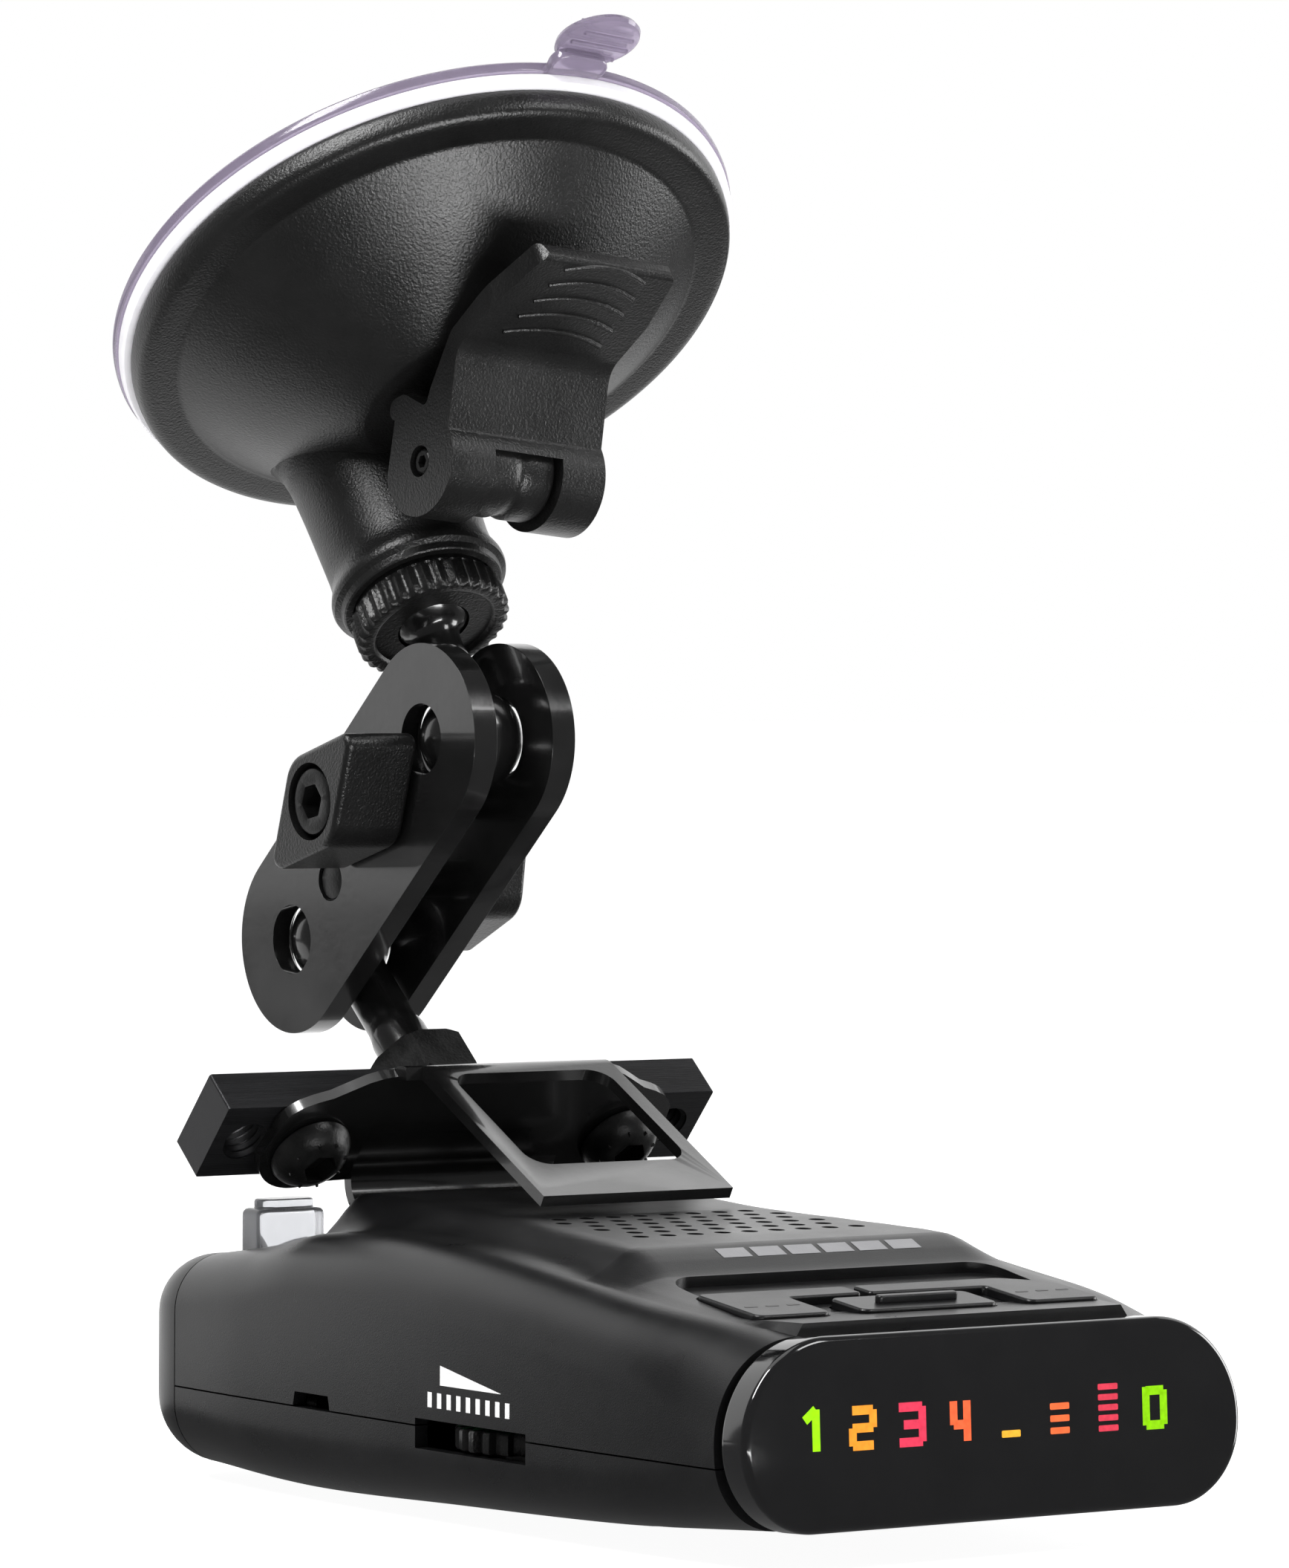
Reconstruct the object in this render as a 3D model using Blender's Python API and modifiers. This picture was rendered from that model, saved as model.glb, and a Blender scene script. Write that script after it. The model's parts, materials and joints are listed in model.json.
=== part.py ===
"""A windshield radar detector on its suction mount, as separate named pieces.

Every size below is in millimetres and becomes metres through MM. The detector is drawn in its own
frame: X across, display facing -Y, Z up, with the underside of the case near Z = 0. The whole
assembly then moves so that the middle of the suction pad's glass face is the world origin.
"""

import math

import bmesh
import bpy
from mathutils import Euler, Matrix, Vector

MM = 0.001
GAP = 0.3  # between pieces that touch

# ---------------------------------------------------------------- driving dimensions

# detector case
LENS_WIDTH = 72.0
LENS_Z = (-0.4, 21.8)
LENS_THICK = 5.0
LENS_LEAN = math.radians(3.0)
CASE_FRONT_Y = -107.6
CAP_SPLIT_Y = 6.3
CAP_BACK_Y = 17.4
SEAM_Z = 7.2
WALL = 1.8
HALF_WIDTH = ((-108, 36.0), (-80, 37.1), (-50, 37.5), (-10, 37.2), (6.3, 36.6))
BELLY_Z = ((-108, -0.2), (-81, -1.8), (-51, -2.7), (-18, -3.6), (6.3, -2.8))
SHOULDER_Z = ((-108, 21.5), (-96, 23.2), (-81, 24.9), (-66, 26.6), (-50, 27.9), (-35, 28.5), (-21, 27.9),
              (-8, 25.5), (6.3, 23.5))
PLATEAU_Z = ((-98, 23.0), (-80.6, 26.3), (-77, 28.0), (-73.5, 29.3), (-60, 29.9), (-41, 30.5), (-28, 31.2),
             (-7.5, 31.4), (-4.5, 25.2))
PLATEAU_HALF = ((-98, 24.0), (-80, 23.0), (-60, 20.0), (-41, 17.6), (-7.5, 17.0))
PLATEAU_EDGE = 8.0  # width of the slope beside the plateau
TOP_CORNER = ((-108, 12.0), (-88, 8.0), (6.3, 7.0))
BELLY_CORNER = ((-108, 8.6), (-88, 7.0), (6.3, 8.0))

# windshield cup: its frame has +Z towards the glass and its origin in the upper ball
CUP_AT = Vector((0.25, 6.67, 105.95))
CUP_TURN = Euler((math.radians(-37.5), math.radians(5.6), math.radians(2.1)))
DISH_Y = -20.4  # the dish's axis stands this far from the neck's
GLASS_Z = 36.5
PAD_R = 41.25
RIM_R = 39.8
DOME_Z = 15.4  # flat that the cam bears on
DOME_R = 13.5
PIN_Z = 4.1
PIN_R = 1.7
EAR_R = 7.0

# ball joints and arm
BALL_R = 6.5
BALL_LOW = Vector((0, -4.9, 87.9))  # lower ball of the upper stud
ARM_R = 12.1
ARM_INNER = 4.2
ARM_OUTER = 7.6
BOLT_OFFSET = 12.0  # from the ball at each end
BLOCK_THICK = 10.5
BLOCK_INNER = 7.9

# bar and bracket: the bar's frame has Y along the stud, up and back, and Z up and forward
BAR_AT = Vector((0, -0.45, 40.05))
BAR_TILT = math.radians(41.5)
BAR_SIZE = (73.7, 6.08, 11.9)
BAR_END_HOLE_X = 32.0
BAR_SCREW_X = 23.5
STUD_LENGTH = 33.4  # ball centre to bar centre
STUD_Z = -0.6
NUT_FLATS = 12.4
NUT_HEIGHT = 6.8
SHEET = 1.5
SHEET_Y = -3.34 - SHEET / 2  # middle of the bracket's sheet on the bar's front face
FRAME_SLOPE = math.radians(28.4)
FRAME_X = (-13.2, 16.5)
WINDOW_X = (-10.4, 13.1)
STRIP_X = (-15.6, 15.2)
TONGUE_Z = 28.25

# switchgear
WHEEL_AT = (-26.2, -60.7)
WHEEL_R = 11.0
WHEEL_Z = (4.8, 7.6)
BUTTON_PROUD = 1.1
DECK_SLOPE = 0.128
HOLE_PITCH = 4.0  # speaker grille, in both directions, alternate rows staggered
HOLE_R = 1.05
SPEAKER_AT = (0, -54, -1.2)

BLACK = (0.012, 0.012, 0.013)

# ---------------------------------------------------------------- scene and helpers

for old in list(bpy.data.objects):
    bpy.data.objects.remove(old, do_unlink=True)

parts = bpy.data.collections.new("radar_detector")
cutters = bpy.data.collections.new("cutters")
for collection in (parts, cutters):
    bpy.context.scene.collection.children.link(collection)
cutters.hide_render = True


def material(name, colour, roughness, metallic=0.0, alpha=1.0, transmission=0.0):
    found = bpy.data.materials.get(name) or bpy.data.materials.new(name)
    found.use_nodes = True
    shader = found.node_tree.nodes["Principled BSDF"]
    shader.inputs["Base Color"].default_value = (*colour, 1.0)
    shader.inputs["Roughness"].default_value = roughness
    shader.inputs["Metallic"].default_value = metallic
    shader.inputs["Alpha"].default_value = alpha
    shader.inputs["Transmission Weight"].default_value = transmission
    found.diffuse_color = (*colour, 1.0)
    return found


SATIN = material("satin_case_plastic", (0.028, 0.029, 0.031), 0.45)
GLOSS = material("gloss_display_plastic", (0.02, 0.02, 0.021), 0.08)
TEXTURED = material("textured_mount_plastic", BLACK, 0.5)
PAINT = material("black_painted_metal", (0.015, 0.015, 0.016), 0.3)
ANODISED = material("black_anodised_bar", (0.02, 0.02, 0.022), 0.38, 0.9)
OXIDE = material("black_oxide_steel", (0.03, 0.03, 0.03), 0.35, 0.9)
STEEL = material("steel", (0.45, 0.45, 0.46), 0.3, 1.0)
VINYL = material("clear_violet_vinyl", (0.5, 0.42, 0.75), 0.15, 0.0, 1.0, 0.7)
CLEAR = material("clear_lens", (0.92, 0.93, 0.95), 0.06, 0.0, 1.0, 0.9)
BOARD = material("circuit_board", (0.02, 0.12, 0.05), 0.5)
CAST = material("cast_zinc", (0.5, 0.5, 0.51), 0.4, 0.9)
CONE = material("speaker_cone", (0.05, 0.05, 0.05), 0.8)


def frame(name, at=(0, 0, 0), turn=(0, 0, 0), parent=None):
    """An empty that pieces are placed in."""
    empty = bpy.data.objects.new(name, None)
    empty.empty_display_size = 0.01
    empty.location = Vector(at) * MM
    empty.rotation_euler = turn
    empty.parent = parent
    parts.objects.link(empty)
    return empty


def add(name, mesh, look=None, parent=None, at=(0, 0, 0), turn=(0, 0, 0)):
    """Turns a mesh in millimetres into a named part, or into a cutter when it has no material."""
    mesh.transform(Matrix.Scale(MM, 4))
    obj = bpy.data.objects.new(name, mesh)
    obj.location = Vector(at) * MM
    obj.rotation_euler = turn
    obj.parent = parent
    if look is None:
        cutters.objects.link(obj)
        obj.hide_render = True
        obj.display_type = "WIRE"
        return obj
    parts.objects.link(obj)
    mesh.materials.append(look)
    mesh.shade_smooth()
    mesh.set_sharp_from_angle(angle=math.radians(35))
    return obj


def from_bmesh(name, bm):
    bmesh.ops.recalc_face_normals(bm, faces=bm.faces)
    if bm.calc_volume(signed=True) < 0:
        bmesh.ops.reverse_faces(bm, faces=bm.faces)
    mesh = bpy.data.meshes.new(name)
    bm.to_mesh(mesh)
    bm.free()
    return mesh


def box(name, low, high):
    bm = bmesh.new()
    bmesh.ops.create_cube(bm, size=1.0)
    low, high = Vector(low), Vector(high)
    bmesh.ops.transform(bm, matrix=Matrix.LocRotScale((low + high) / 2, None, high - low), verts=bm.verts)
    return from_bmesh(name, bm)


def cylinder(name, radius, low, high, sides=18, top_radius=None):
    """Along Z from low to high."""
    bm = bmesh.new()
    bmesh.ops.create_cone(bm, cap_ends=True, segments=sides, radius1=radius,
                          radius2=radius if top_radius is None else top_radius, depth=high - low)
    bmesh.ops.translate(bm, verts=bm.verts, vec=(0, 0, (low + high) / 2))
    return from_bmesh(name, bm)


def ball(name, radius, sides=24):
    bm = bmesh.new()
    bmesh.ops.create_uvsphere(bm, u_segments=sides, v_segments=sides // 2, radius=radius)
    return from_bmesh(name, bm)


def turned(name, profile, sides=24, closed=False):
    """A profile of (radius, z) points, running down its outer side, turned about Z by a Screw."""
    bm = bmesh.new()
    verts = [bm.verts.new((r, 0, z)) for r, z in profile]
    pairs = list(zip(verts, verts[1:])) + ([(verts[-1], verts[0])] if closed else [])
    for first, second in pairs:
        bm.edges.new((first, second))
    mesh = bpy.data.meshes.new(name + "_profile")
    bm.to_mesh(mesh)
    bm.free()
    mesh.transform(Matrix.Scale(MM, 4))
    holder = bpy.data.objects.new(name + "_profile", mesh)
    parts.objects.link(holder)
    screw = holder.modifiers.new("turn", "SCREW")
    screw.steps = screw.render_steps = sides
    screw.use_merge_vertices = True
    screw.merge_threshold = 0.00001
    return evaluated(name, holder)


def evaluated(name, holder):
    """The object's mesh as its curve or modifiers make it, welded, back in millimetres."""
    bpy.context.view_layer.update()
    graph = bpy.context.evaluated_depsgraph_get()
    mesh = bpy.data.meshes.new_from_object(holder.evaluated_get(graph))
    mesh.transform(Matrix.Scale(1 / MM, 4))
    bm = bmesh.new()
    bm.from_mesh(mesh)
    bmesh.ops.remove_doubles(bm, verts=bm.verts, dist=0.0005)
    bpy.data.objects.remove(holder, do_unlink=True)
    bpy.data.meshes.remove(mesh)
    return from_bmesh(name, bm)


def prism(name, outlines, low, high):
    """Closed outlines in XY, the first outside and the rest holes, extruded in Z from low to high."""
    curve = bpy.data.curves.new(name, "CURVE")
    curve.dimensions = "2D"
    curve.fill_mode = "BOTH"
    curve.extrude = (high - low) / 2 * MM
    for outline in outlines:
        spline = curve.splines.new("POLY")
        spline.points.add(len(outline) - 1)
        spline.use_cyclic_u = True
        for point, (x, y) in zip(spline.points, outline):
            point.co = (x * MM, y * MM, 0, 1)
    holder = bpy.data.objects.new(name, curve)
    parts.objects.link(holder)
    mesh = evaluated(name, holder)
    mesh.transform(Matrix.Translation((0, 0, (low + high) / 2)))
    return mesh


def arc(x, y, radius, start, end, steps):
    """Points on an arc, angles in degrees."""
    angles = [math.radians(start + (end - start) * i / steps) for i in range(steps + 1)]
    return [(x + radius * math.cos(a), y + radius * math.sin(a)) for a in angles]


def circle(x, y, radius, sides=14):
    return arc(x, y, radius, 0, 360, sides)[:-1]


def rounded(corners, steps=3):
    """A closed outline through (x, y, radius) corners, each corner an arc of that radius."""
    outline = []
    for i, (x, y, radius) in enumerate(corners):
        here = Vector((x, y))
        back = (Vector(corners[i - 1][:2]) - here).normalized()
        ahead = (Vector(corners[(i + 1) % len(corners)][:2]) - here).normalized()
        if radius == 0:
            outline.append((x, y))
            continue
        half = back.angle(ahead) / 2
        middle = here + (back + ahead).normalized() * radius / math.sin(half)
        first = here + back * radius / math.tan(half) - middle
        last = here + ahead * radius / math.tan(half) - middle
        sweep = math.copysign(math.pi - 2 * half, first.x * last.y - first.y * last.x)
        for k in range(steps + 1):
            cosine, sine = math.cos(sweep * k / steps), math.sin(sweep * k / steps)
            outline.append((middle.x + first.x * cosine - first.y * sine,
                            middle.y + first.x * sine + first.y * cosine))
    return outline


def rounded_box(x0, x1, y0, y1, radius, steps=3):
    return rounded([(x0, y0, radius), (x1, y0, radius), (x1, y1, radius), (x0, y1, radius)], steps)


def turned_in_plane(outline, degrees):
    cosine, sine = math.cos(math.radians(degrees)), math.sin(math.radians(degrees))
    return [(x * cosine - y * sine, x * sine + y * cosine) for x, y in outline]


def regular(sides, across_flats):
    radius = across_flats / 2 / math.cos(math.pi / sides)
    return arc(0, 0, radius, 0, 360, sides)[:-1]


def boolean(obj, other, operation):
    modifier = obj.modifiers.new(other.name, "BOOLEAN")
    modifier.operation = operation
    modifier.solver = "EXACT"
    modifier.object = other
    return other


def cut(obj, mesh, at=(0, 0, 0), turn=(0, 0, 0)):
    """Cuts a mesh, placed in the same parent as the object, out of the object."""
    cutter = add(f"{obj.name}_cut{len(obj.modifiers)}", mesh, None, obj.parent, at, turn)
    return boolean(obj, cutter, "DIFFERENCE")


def join(obj, mesh, at=(0, 0, 0), turn=(0, 0, 0)):
    extra = add(f"{obj.name}_add{len(obj.modifiers)}", mesh, None, obj.parent, at, turn)
    return boolean(obj, extra, "UNION")


def between(points, y):
    """The value at y on a smooth line through (y, value) points."""
    if y <= points[0][0]:
        return points[0][1]
    for (y0, v0), (y1, v1) in zip(points, points[1:]):
        if y <= y1:
            return v0 + (v1 - v0) * (y - y0) / (y1 - y0)
    return points[-1][1]


def loft(name, rings, pair):
    """Joins rings of equal counts into one closed body. Its ends are strips of quads, each point i of an
    end ring facing point pair - i."""
    bm = bmesh.new()
    loops = [[bm.verts.new(point) for point in ring] for ring in rings]
    count = len(loops[0])
    for first, second in zip(loops, loops[1:]):
        for i in range(count):
            j = (i + 1) % count
            bm.faces.new((first[i], first[j], second[j], second[i]))
    for end in (loops[0], loops[-1]):
        for i in range(count // 2):
            corners = (end[i], end[i + 1], end[(pair - i - 1) % count], end[(pair - i) % count])
            corners = list(dict.fromkeys(corners))
            if len(corners) > 2:
                bm.faces.new(corners)
    bmesh.ops.triangulate(bm, faces=bm.faces)
    return from_bmesh(name, bm)


SIDEWAYS = (math.pi / 2, 0, math.pi / 2)  # an outline's x, y become y, z, and its thickness runs along +X
UPRIGHT = (math.pi / 2, 0, 0)  # an outline's x, y become x, z, and its thickness runs along -Y
ALONG_X = (0, math.pi / 2, 0)  # a cylinder's +Z onto +X

# ---------------------------------------------------------------- frames

glass_centre = CUP_AT + CUP_TURN.to_matrix() @ Vector((0, DISH_Y, GLASS_Z))
bar_turn = Matrix.Rotation(BAR_TILT, 3, "X")
ball_end = BAR_AT + bar_turn @ Vector((0, STUD_LENGTH, STUD_Z))  # lower end of the arm
stud_axis = CUP_AT - BALL_LOW
arm_axis = ball_end - BALL_LOW
ARM_LENGTH = arm_axis.length
STUD_REACH = stud_axis.length

assembly = frame("assembly", at=-glass_centre)
cup = frame("cup_frame", at=CUP_AT, turn=CUP_TURN, parent=assembly)
upper_ball = frame("upper_ball_frame", at=CUP_AT, parent=assembly)
arm = frame("arm_frame", at=BALL_LOW, turn=(math.atan2(arm_axis.z, arm_axis.y), 0, 0), parent=assembly)
lower_ball = frame("lower_ball_frame", at=ball_end, parent=assembly)
bar = frame("bar_frame", at=BAR_AT - ball_end, turn=(BAR_TILT, 0, 0), parent=lower_ball)
detector = frame("detector_frame", at=-ball_end, parent=lower_ball)
deck = frame("button_deck_frame", at=(0, -81, 24.9), turn=(math.atan(DECK_SLOPE), 0, 0), parent=detector)


# ---------------------------------------------------------------- windshield cup

def suction_pad():
    profile = [(0, GLASS_Z), (PAD_R - 0.3, GLASS_Z), (PAD_R, GLASS_Z - 0.4), (PAD_R, 35.2), (40.7, 33.4),
               (12.5, 33.4), (12.0, 29.6), (5.5, 29.6), (5.5, 31.4), (8.6, 31.4), (8.6, 36.0), (0, 36.0)]
    pad = add("suction_pad", turned("suction_pad", profile, 36), VINYL, cup, at=(0, DISH_Y, 0))
    tab = rounded([(-7.2, -59.5, 0), (0.8, -59.5, 0), (0.8, -62.5, 1.0), (4.7, -67, 5), (2, -73.2, 5),
                   (-5, -73.2, 5), (-7.8, -67, 5), (-7.2, -62.5, 1.0)])
    join(pad, prism("pull_tab", [tab], 34.0, 36.2))


def cup_housing():
    shell = [(37.4, 33.1), (RIM_R, 33.1), (RIM_R - 0.1, 32.0), (39.4, 30.1), (38.6, 29.5), (34.3, 29.5),
             (34.0, 29.1), (29.3, 25.5), (20.5, 19.7), (DOME_R, DOME_Z), (5.6, DOME_Z), (5.6, 17.4),
             (12.6, 17.6), (28.0, 27.9), (32.6, 31.3), (37.4, 31.5)]
    housing = add("cup_housing", turned("cup_housing", shell, 32, closed=True), TEXTURED, cup,
                  at=(0, DISH_Y, 0))
    neck = [(0, 28), (11.4, 28), (10.95, 15.5), (10.6, 5.5), (10.9, 3.2), (11.54, 1.9), (11.4, 0.9),
            (10.54, 0.3), (10.54, -0.45), (0, -0.45)]
    hollow = [(0, 34), (37.0, 34), (32.6, 31.3), (28.0, 27.9), (12.6, 17.6), (0, 17.4)]
    join(housing, turned("neck", neck, 22))
    cut(housing, turned("cup_hollow", hollow, 32), at=(0, DISH_Y, 0))
    cut(housing, cylinder("neck_bore", 9.4, -2, 9.6, 22))


def draw_stem():
    profile = [(0, 33.4), (8.3, 33.4), (8.3, 31.7), (5.0, 31.7), (5.0, 8.0), (0, 8.0)]
    stem = add("draw_stem", turned("draw_stem", profile, 20), STEEL, cup, at=(0, DISH_Y, 0))
    on_pin = dict(at=(0, DISH_Y, PIN_Z), turn=ALONG_X)
    join(stem, cylinder("knuckle", 5.9, -5, 5, 20), **on_pin)
    cut(stem, cylinder("knuckle_bore", PIN_R + GAP, -6, 6, 14), **on_pin)


def cam_lever():
    """Drawn about its pin: Y towards the neck, Z towards the dome, so the cam lobe stands at +Z."""
    ear = arc(0, 0, EAR_R, 20, -180, 12)
    grip = rounded([(-6.8, 0.0, 0), (-13.4, 7.6, 4), (-32.0, 7.4, 0.8), (-31.3, 10.3, 1.2), (-19.4, 10.5, 3),
                    (-13.4, 10.3, 3), (-6.4, 6.7, 3), (-4.4, 5.3, 0.8), (-1.6, 9.6, 2), (0.6, 10.4, 1.6),
                    (3.3, 9.4, 1.4)])
    lever = add("cam_lever", prism("cam_lever", [ear + grip[1:]], -12, 12), TEXTURED, cup,
                at=(0, DISH_Y, PIN_Z), turn=SIDEWAYS)
    plan = rounded([(-12, 8, 0), (12, 8, 0), (12, -22, 8), (10, -32.4, 3), (0, -33.4, 20), (-10, -32.4, 3),
                    (-12, -22, 8)])
    keep = add("lever_plan", prism("lever_plan", [plan], -9, 13), None, cup, at=(0, DISH_Y, PIN_Z))
    boolean(lever, keep, "INTERSECT")
    cut(lever, box("fork", (-5.3, -6.6, -8), (5.3, 9, 12)), at=(0, DISH_Y, PIN_Z))
    on_pin = dict(at=(0, DISH_Y, PIN_Z), turn=ALONG_X)
    cut(lever, cylinder("pin_bore", PIN_R + GAP, -14, 14, 14), **on_pin)
    add("lever_pin", cylinder("lever_pin", PIN_R, -11.4, 11.4, 14), STEEL, cup, **on_pin)


def ball_clamp():
    """The seat and the locking collar that hold the upper ball in the neck."""
    seat_r = BALL_R + GAP
    rim = 4.9
    hollow = [(seat_r * math.sin(math.radians(a)), seat_r * math.cos(math.radians(a)))
              for a in (43.9, 30, 15)] + [(0, seat_r)]
    add("ball_seat", turned("ball_seat", [(0, 9.2), (9.0, 9.2), (9.0, rim), *hollow], 20), TEXTURED, cup)
    socket = [(seat_r * math.cos(math.radians(a)), -seat_r * math.sin(math.radians(a)))
              for a in (46, 30, 15, 0)]
    collar = [(9.1, 4.5), (9.1, -1.0), (9.6, -1.2), (10.0, -1.6), (10.0, -5.1), (9.7, -5.5), (8.0, -5.5),
              (7.7, -4.9), *socket, (7.1, 0.5), (7.1, 4.5)]
    add("locking_collar", turned("locking_collar", collar, 24, closed=True), TEXTURED, cup)


# ---------------------------------------------------------------- ball arm

def ball_arc(centre, start, end, steps=7):
    """Points on a ball's outline, angles measured from +Z, running down."""
    angles = [math.radians(start + (end - start) * i / steps) for i in range(steps + 1)]
    return [(BALL_R * math.sin(a), centre + BALL_R * math.cos(a)) for a in angles]


def double_ball_stud():
    neck = math.degrees(math.asin(3.2 / BALL_R))
    profile = ball_arc(0, 0, 180 - neck, 7) + ball_arc(-STUD_REACH, neck, 180, 7)
    profile[0] = (0, BALL_R)
    profile[-1] = (0, -STUD_REACH - BALL_R)
    lean = Vector((0, 0, 1)).rotation_difference(stud_axis).to_euler()
    add("double_ball_stud", turned("double_ball_stud", profile, 20), PAINT, upper_ball, turn=lean)


def arm_side(side):
    """One plate, its clamp block and the screw that enters from its side: -1 left, 1 right."""
    name = "left" if side < 0 else "right"
    bolt = BOLT_OFFSET if side < 0 else ARM_LENGTH - BOLT_OFFSET
    other = ARM_LENGTH - bolt
    outline = arc(0, 0, ARM_R, 90, 270, 12) + arc(ARM_LENGTH, 0, ARM_R, -90, 90, 12)
    holes = [circle(along, 0, radius, 18)
             for along, radius in ((0, 4.5), (ARM_LENGTH, 4.5), (bolt, 2.9), (other, 2.7))]
    low, high = sorted((side * ARM_INNER, side * ARM_OUTER))
    mesh = prism("arm_plate", [outline, *holes], low, high)
    plate = add(f"arm_plate_{name}", mesh, PAINT, arm, turn=SIDEWAYS)
    for along in (0, ARM_LENGTH):
        cut(plate, ball("ball_seat_cut", BALL_R + GAP, 18), at=(0, along, 0))
    low, high = sorted((side * BLOCK_INNER, side * (BLOCK_INNER + BLOCK_THICK)))
    tip, edge = 13.5, 7.3
    rhombus = turned_in_plane(rounded([(-tip, 0, 1.2), (0, -edge, 4.5), (tip, 0, 1.2), (0, edge, 4.5)]),
                              -3 if side < 0 else -12)
    mesh = prism("clamp_block", [rhombus, circle(0, 0, 2.9)], low, high)
    block = add(f"clamp_block_{name}", mesh, PAINT, arm, at=(0, bolt, 0), turn=SIDEWAYS)
    face = side * (BLOCK_INNER + BLOCK_THICK)
    recess = sorted((face + side, face - side * 5.6))
    cut(block, cylinder("head_recess", 4.9, *recess, 18), at=(0, bolt, 0), turn=ALONG_X)
    head = [(0, 0), (3.9, 0), (4.3, -0.4), (4.3, -5.0), (2.4, -5.0), (2.4, -25.4), (0, -25.4)]
    face_turn = (0, side * math.pi / 2, 0)
    screw = add(f"clamp_screw_{name}", turned("clamp_screw", head, 16), STEEL, arm,
                at=(face - side * GAP, bolt, 0), turn=face_turn)
    cut(screw, prism("hex_socket", [regular(6, 4)], -2.6, 1), at=(face - side * GAP, bolt, 0), turn=face_turn)


def lower_stud():
    """Ball at the arm's end, threaded end through the bar; the piece's +Z points from the bar to the ball."""
    neck = math.degrees(math.asin(3.3 / BALL_R))
    profile = ball_arc(0, 0, 180 - neck, 7) + [(3.3, -16.0), (3.7, -18.5), (3.7, -22.6), (3.0, -22.9),
                                                (3.0, -STUD_LENGTH - 2.5), (0, -STUD_LENGTH - 2.5)]
    profile[0] = (0, BALL_R)
    along = (-math.pi / 2, 0, 0)  # +Z onto the bar frame's +Y
    add("lower_ball_stud", turned("lower_ball_stud", profile, 20), PAINT, bar,
        at=(0, STUD_LENGTH, STUD_Z), turn=along)
    low = BAR_SIZE[1] / 2 + GAP
    place = dict(at=(0, 0, STUD_Z), turn=along)
    mesh = prism("stud_nut", [regular(6, NUT_FLATS), circle(0, 0, 3.3)], low, low + NUT_HEIGHT)
    nut = add("stud_nut", mesh, OXIDE, bar, **place)
    top = low + NUT_HEIGHT
    chamfer = [(0, top + 0.2), (6.5, top + 0.2), (7.2, top - 0.9), (7.2, low + 0.9), (6.5, low - 0.2),
               (0, low - 0.2)]
    keep = add("nut_chamfer", turned("nut_chamfer", chamfer, 18), None, bar, **place)
    boolean(nut, keep, "INTERSECT")


# ---------------------------------------------------------------- bar and bracket

def mount_bar():
    half = [size / 2 for size in BAR_SIZE]
    outline = rounded_box(-half[0], half[0], -half[2], half[2], 0.3, 1)
    holes = [circle(side * BAR_END_HOLE_X, 0, 3.0) for side in (-1, 1)]
    holes += [circle(side * BAR_SCREW_X, 0, 3.3) for side in (-1, 1)] + [circle(0, STUD_Z, 3.3)]
    add("mount_bar", prism("mount_bar", [outline, *holes], -half[1], half[1]), ANODISED, bar, turn=UPRIGHT)


def ribbon(path, thick):
    """The outline of a sheet of this thickness whose middle runs through (y, z, bend radius) corners."""
    sides = []
    for sign in (1, -1):
        side = []
        for i, (y, z, radius) in enumerate(path):
            here = Vector((y, z))
            back = (here - Vector(path[max(i - 1, 0)][:2])).normalized()
            ahead = (Vector(path[min(i + 1, len(path) - 1)][:2]) - here).normalized()
            back = back if back.length else ahead
            ahead = ahead if ahead.length else back
            bend = back.angle_signed(ahead)
            offset = (Vector((-back.y, back.x)) + Vector((-ahead.y, ahead.x))).normalized()
            corner = here + offset * sign * thick / 2 / math.cos(bend / 2)
            outside = 1 if bend * sign > 0 else -1
            side.append((corner.x, corner.y, max(radius + outside * thick / 2, 0)))
        sides.append(side)
    return rounded(sides[0] + sides[1][::-1], 5)


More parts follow.
